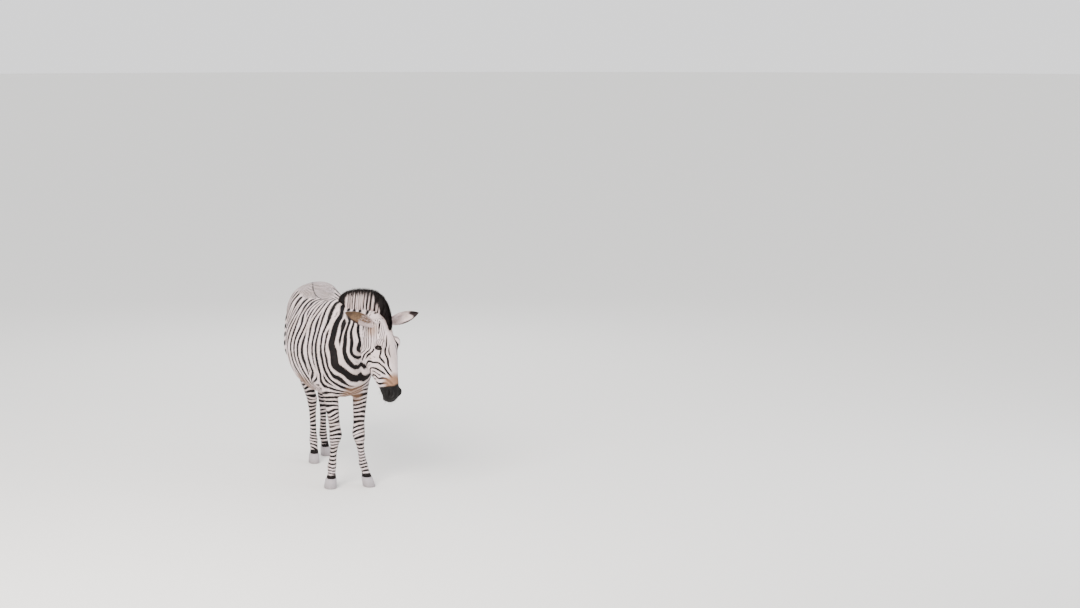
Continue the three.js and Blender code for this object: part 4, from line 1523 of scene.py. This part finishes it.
def ear_faces():
    """The faces of an ear's back, of its hollow and of the rims between them."""
    size = EAR_ROWS * EAR_COLUMNS
    number = np.arange(size).reshape(EAR_ROWS, EAR_COLUMNS)
    corner = number[:-1, :-1].ravel()
    back = np.stack([corner, corner + 1, corner + EAR_COLUMNS + 1, corner + EAR_COLUMNS], 1)
    hollow = back[:, ::-1] + size
    rims = [np.stack([line[:-1], line[1:], line[1:] + size, line[:-1] + size], 1)
            for line in (number[:, 0], number[::-1, -1], number[-1], number[0, ::-1])]
    return np.concatenate([back, hollow, *rims])


def ear_cup(name):
    """An ear's back and hollow, closed along the rims, with the numbers that its material reads."""
    share = np.linspace(-0.10, 1.0, EAR_ROWS)[:, None]
    turn = np.linspace(-1, 1, EAR_COLUMNS)[None]
    thick = EAR_THICK * (1 - 0.75 * np.abs(turn) ** 6) * (1 - 0.6 * ramp(0.8, 1.0, share))
    share, turn = share + 0 * turn, turn + 0 * share
    sides = [ear_point(name, share, turn, inset).reshape(-1, 3) for inset in (0 * thick, thick)]
    points = np.concatenate(sides)
    ear = new_mesh(name + "_cup", points, ear_faces())
    smooth_shade(ear)
    for key, values in ear_marks(name, share.ravel(), turn.ravel(), sides[0]).items():
        put_value(ear, key, values)
    return ear


def ear_marks(name, share, turn, back):
    """The numbers of an ear's brown hollow, partly the skin's own colour and partly painted shade, and of its
    dark bands, first for its back and then for its hollow.
    """
    far = name.endswith("left")
    rough = 0.05 * ripple(back, 0.03, 21)
    dark_rim = ramp(0.52, 0.72, np.abs(turn) + rough) * ramp(0.20, 0.36, share + rough)
    dark_rim *= np.where(turn > 0, 0.2 if far else 1.0, 1.0 if far else 0.35)
    dark_tip = ramp(0.70, 0.80, share + rough) * ramp(0.99, 0.95, share + rough) * (1.0 if far else 0.3)
    back_band = ramp(0.50, 0.56, share + rough) * ramp(0.90, 0.86, share + rough)
    back_rim = 0.6 * ramp(0.80, 0.96, np.abs(turn)) * ramp(0.62, 0.70, share)
    # The hollow's brown: the skin's own colour with painted shade, full in the shaded hollow of the right
    # ear, a quarter in the lit left ear.
    brown = (1 - 0.75 * ramp(0.16, 0.0, share + rough)) * (0.25 if far else 1.0)
    return {
        "inner": np.concatenate([0 * share, brown]),
        "band": np.concatenate([np.maximum(back_band, back_rim), np.maximum(0.95 * dark_rim, dark_tip)]),
        "shade": np.tile(0.5 + rough * 2, 2)}


def ear_fluff(name):
    """Long pale hair from the hollow's base and its rims, combed towards the tip."""
    rng = np.random.default_rng(8)
    share = rng.uniform(0.0, 0.42, EAR_HAIRS) + 0.02
    anywhere = rng.uniform(0, 1, EAR_HAIRS) < 0.35
    turn = np.where(anywhere, rng.uniform(-0.9, 0.9, EAR_HAIRS), rng.uniform(0.3, 1.0, EAR_HAIRS))
    roots = ear_point(name, share, turn, np.full(EAR_HAIRS, EAR_THICK))
    _, axes = ear_frame(name)
    long = rng.uniform(0.014, 0.040, EAR_HAIRS) * (1 - 0.8 * share) * np.where(turn > 0.2, 1.0, 0.5)
    lean = axes[:, 2] * 0.9 + np.outer(rng.uniform(0.25, 0.75, EAR_HAIRS), axes[:, 1])
    lean = lean - np.outer(turn * 0.45, axes[:, 0]) + rng.normal(0, 0.12, (EAR_HAIRS, 3))
    tips = roots + unit(lean) * long[:, None]
    shade = rng.uniform(0, 0.6, EAR_HAIRS)
    pale, zero = np.full(EAR_HAIRS, -6.0), np.zeros(EAR_HAIRS)
    return strands(name + "_fluff", roots, tips, np.outer(long * 0.08, axes[:, 1]),
                   np.full(EAR_HAIRS, 0.0012),
                   {"stripe": (pale, pale), "shade": (shade, shade), "tip": (zero, zero)})


# ---- Hooves ----

HOOF_VOXEL, HOOF_ROUNDS = 0.0025, 16
RING_PITCH, RING_RISE = 0.0105, 0.00025


class ZEBRA_OT_hooves(bpy.types.Operator):
    """Round off the four hooves, with growth rings, darker towards the sole"""

    bl_idname = "zebra.hooves"
    bl_label = "Hooves"

    def execute(self, context):
        material = horn_material()
        for name in HOOVES:
            hoof = solid_copies((name,), name + "_horn", 0.0)
            finish_with(hoof, "REMESH", mode="VOXEL", voxel_size=HOOF_VOXEL)
            smoothed(hoof, np.full(len(hoof.data.vertices), 0.8), HOOF_ROUNDS)
            points, normals = points_of(hoof), normals_of(hoof)
            side = ramp(0.75, 0.4, np.abs(normals[:, 2]))
            turns = points[:, 2] * 2 * math.pi / RING_PITCH + 3 * ripple(points, 0.12, 2)
            rings = np.sin(turns) * RING_RISE
            points = points + normals * (rings * side)[:, None]
            points[:, 2] = np.maximum(points[:, 2], 0)
            set_points(hoof, points)
            smooth_shade(hoof)
            dress(hoof, material, "horn", name)
        return {"FINISHED"}


# ---- Long hair ----

MANE_HAIRS, FORELOCK_HAIRS, WHISKERS, TAIL_HAIRS = 12500, 4200, 160, 3000
MANE_ROOTED = 0.012       # how deep the mane's roots stand


def all_dark(count):
    """The numbers that make each of count hairs black over its whole length."""
    dark, zero = np.full(count, 6.0), np.zeros(count)
    return {"stripe": (dark, dark), "shade": (zero, zero), "tip": (dark, dark)}


def strands(name, roots, tips, sag, width, values, rings=4):
    """One mesh of long hairs: ridged ribbons that run from roots to tips and narrow to a point.

    sag is how far each hair's middle stands off the straight line, and values are numbers stored along
    it, each as a pair for root and tip.
    """
    rng = np.random.default_rng(len(roots))
    count = len(roots)
    way = tips - roots
    side = unit(np.cross(way, rng.normal(size=(count, 3))))
    face = unit(np.cross(side, way))
    parts, shares = [], []
    for i in range(rings):
        t = i / rings
        centre = roots + way * t + sag * (4 * t * (1 - t))
        half = side * (width * (1 - 0.55 * t * t) / 2)[:, None]
        ridge = face * (width * 0.28)[:, None]
        parts += [centre - half, centre + ridge, centre + half]
        shares += [t] * 3
    parts.append(roots + way)
    shares.append(1.0)
    size = len(parts)
    points = np.stack(parts, 1).reshape(-1, 3)
    faces = []
    for i in range(rings - 1):
        a, b = 3 * i, 3 * i + 3
        faces += [(a, a + 1, b + 1), (a, b + 1, b), (a + 1, a + 2, b + 2), (a + 1, b + 2, b + 1)]
    last, tip = 3 * rings - 3, 3 * rings
    faces += [(last, last + 1, tip), (last + 1, last + 2, tip)]
    faces = (np.arange(count)[:, None, None] * size + np.array(faces)[None]).reshape(-1, 3)
    item = new_mesh(name, points, faces)
    shares = np.array(shares)
    for key, (start, end) in values.items():
        put_value(item, key, (start[:, None] * (1 - shares) + end[:, None] * shares).ravel())
    smooth_shade(item)
    return item


class ZEBRA_OT_mane(bpy.types.Operator):
    """Plant the stiff mane and the forelock along the crest"""

    bl_idname = "zebra.mane"
    bl_label = "Mane and forelock"

    def execute(self, context):
        material = mane_material()
        mane = crest_hair("mane_hair", 0.0, FORELOCK_FROM + 0.15, MANE_HAIRS)
        dress(mane, material, "long_hair", "mane")
        forelock = crest_hair("forelock_hair", FORELOCK_FROM, len(MANE) - 1.0, FORELOCK_HAIRS)
        dress(forelock, material, "long_hair", "forelock")
        return {"FINISHED"}


def crest_hair(name, first, last, count):
    """Stiff upright hair between two rows of the mane, in its bands, with black tips."""
    rng = np.random.default_rng(31)
    rows = np.array(MANE)
    at = rng.uniform(first, last, count)
    x, tip_y, tip_z, root_y, root_z, half = (np.interp(at, np.arange(len(rows)), row) for row in rows.T)
    sideways = rng.uniform(-1, 1, count)
    roots = np.stack([x + sideways * half * 0.85, root_y, root_z], 1)
    tips = np.stack([x + sideways * half * 0.5, tip_y, tip_z], 1)
    roots -= unit(tips - roots) * MANE_ROOTED
    grown = rng.uniform(0.72, 1.0, count) ** 0.6
    tips = roots + (tips - roots) * grown[:, None] + rng.normal(size=(count, 3)) * 0.0035
    sag = rng.normal(size=(count, 3)) * 0.003
    shade = rng.uniform(0, 1, count)
    stripe = np.full(count, -9.0)
    for start, end in MANE_BLACK:
        stripe = np.maximum(stripe, np.minimum(at - start, end - at) * MANE_ROW)
    from_tip = np.interp(at, (1.5, 2.6, 5.9, 6.3, 6.8, 7.4), (0.3, 0.68, 0.70, 0.42, 0.40, 0.15))
    from_tip = from_tip + rng.normal(0, 0.035, count)
    return strands(name, roots, tips, sag, np.full(count, 0.0026),
                   {"stripe": (stripe, stripe), "shade": (shade, shade),
                    "tip": (-8 * from_tip, 8 * (1 - from_tip))})


class ZEBRA_OT_whiskers(bpy.types.Operator):
    """Plant sparse bristles on lips and chin"""

    bl_idname = "zebra.whiskers"
    bl_label = "Whiskers"

    def execute(self, context):
        rng = np.random.default_rng(71)
        roots, normals, _, marks = scattered(bpy.data.objects["skin"], 60000, rng)
        _, down, forward = in_head(roots).T
        chosen = (marks[:, MARKS.index("bare")] > 0.5) & (down > 0.50) & (forward < 0.0)
        roots, normals = roots[chosen][:WHISKERS], normals[chosen][:WHISKERS]
        count = len(roots)
        long = rng.uniform(0.010, 0.030, count)[:, None]
        tips = roots + unit(normals + rng.normal(0, 0.25, (count, 3)) - (0, 0, 0.3)) * long
        hair = strands("whiskers", roots, tips, -np.outer(long * 0.1, (0, 0, 1)), np.full(count, 0.0006),
                       all_dark(count))
        dress(hair, mane_material(), "long_hair")
        return {"FINISHED"}


class ZEBRA_OT_tail_hair(bpy.types.Operator):
    """Hang the long dark hair of the tail"""

    bl_idname = "zebra.tail_hair"
    bl_label = "Tail hair"

    def execute(self, context):
        low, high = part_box("tail_tuft")
        centre = home(np.array((low + high) / 2))
        top, bottom = high.z, low.z
        rng = np.random.default_rng(47)
        count = TAIL_HAIRS
        start = top + 0.03 - (top - bottom) * 0.45 * rng.uniform(0, 1, count) ** 1.4
        turn = rng.uniform(0, 2 * math.pi, count)
        round_tail = np.stack([np.cos(turn), np.sin(turn)], 1)
        spread = np.sqrt(rng.uniform(0, 1, count))
        at_root = centre[:2] - (0, 0.002) + round_tail * (spread * 0.013)[:, None]
        roots = np.column_stack([at_root, start])
        wide = spread * rng.uniform(0.3, 1.0, count)
        end = np.maximum(bottom + 0.02 * rng.uniform(0, 1, count), start - rng.uniform(0.20, 0.36, count))
        tips = np.column_stack([centre[:2] + round_tail * (wide * 0.030)[:, None], end])
        out = np.column_stack([round_tail * (spread * 0.024)[:, None], np.zeros(count)])
        out = out + rng.normal(0, 0.004, (count, 3))
        shade = rng.uniform(0, 1, count)
        dark = np.where(rng.uniform(0, 1, count) < 0.18, -6.0, 6.0)
        zero = np.zeros(count)
        hair = strands("tail_hair", roots, tips, out, np.full(count, 0.0034),
                       {"stripe": (dark, dark), "shade": (shade, shade), "tip": (zero, zero)}, rings=6)
        dress(hair, mane_material(), "long_hair", "tail_tuft")
        return {"FINISHED"}


class ZEBRA_PT_panel(bpy.types.Panel):
    """The zebra's pieces and colours in the sidebar"""

    bl_label = "Mountain zebra"
    bl_idname = "ZEBRA_PT_panel"
    bl_space_type = "VIEW_3D"
    bl_region_type = "UI"
    bl_category = "Zebra"

    def draw(self, context):
        for operator in OPERATORS:
            self.layout.operator(operator.bl_idname)
        for group in (sizes(), colours()):
            for key in group.bl_rna.properties.keys():
                if key not in ("rna_type", "name"):
                    self.layout.prop(group, key)


OPERATORS = (ZEBRA_OT_stage, ZEBRA_OT_skin, ZEBRA_OT_coat, ZEBRA_OT_eyes, ZEBRA_OT_lids, ZEBRA_OT_ears,
             ZEBRA_OT_hooves, ZEBRA_OT_mane, ZEBRA_OT_whiskers, ZEBRA_OT_tail_hair)
CLASSES = (ZebraSizes, ZebraColours, *OPERATORS, ZEBRA_PT_panel)


def register():
    """Registers the classes and hangs sizes and colours on the scene."""
    for item in CLASSES:
        bpy.utils.register_class(item)
    bpy.types.Scene.zebra_sizes = bpy.props.PointerProperty(type=ZebraSizes)
    bpy.types.Scene.zebra_colours = bpy.props.PointerProperty(type=ZebraColours)


def unregister():
    """Takes away what register() put in place."""
    del bpy.types.Scene.zebra_colours
    del bpy.types.Scene.zebra_sizes
    for item in reversed(CLASSES):
        bpy.utils.unregister_class(item)


def main():
    """Builds every piece in order."""
    register()
    bpy.ops.zebra.stage()
    bpy.ops.zebra.skin()
    bpy.ops.zebra.coat()
    bpy.ops.zebra.eyes()
    bpy.ops.zebra.lids()
    bpy.ops.zebra.ears()
    bpy.ops.zebra.hooves()
    bpy.ops.zebra.mane()
    bpy.ops.zebra.whiskers()
    bpy.ops.zebra.tail_hair()
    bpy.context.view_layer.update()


if __name__ == "__main__":
    main()
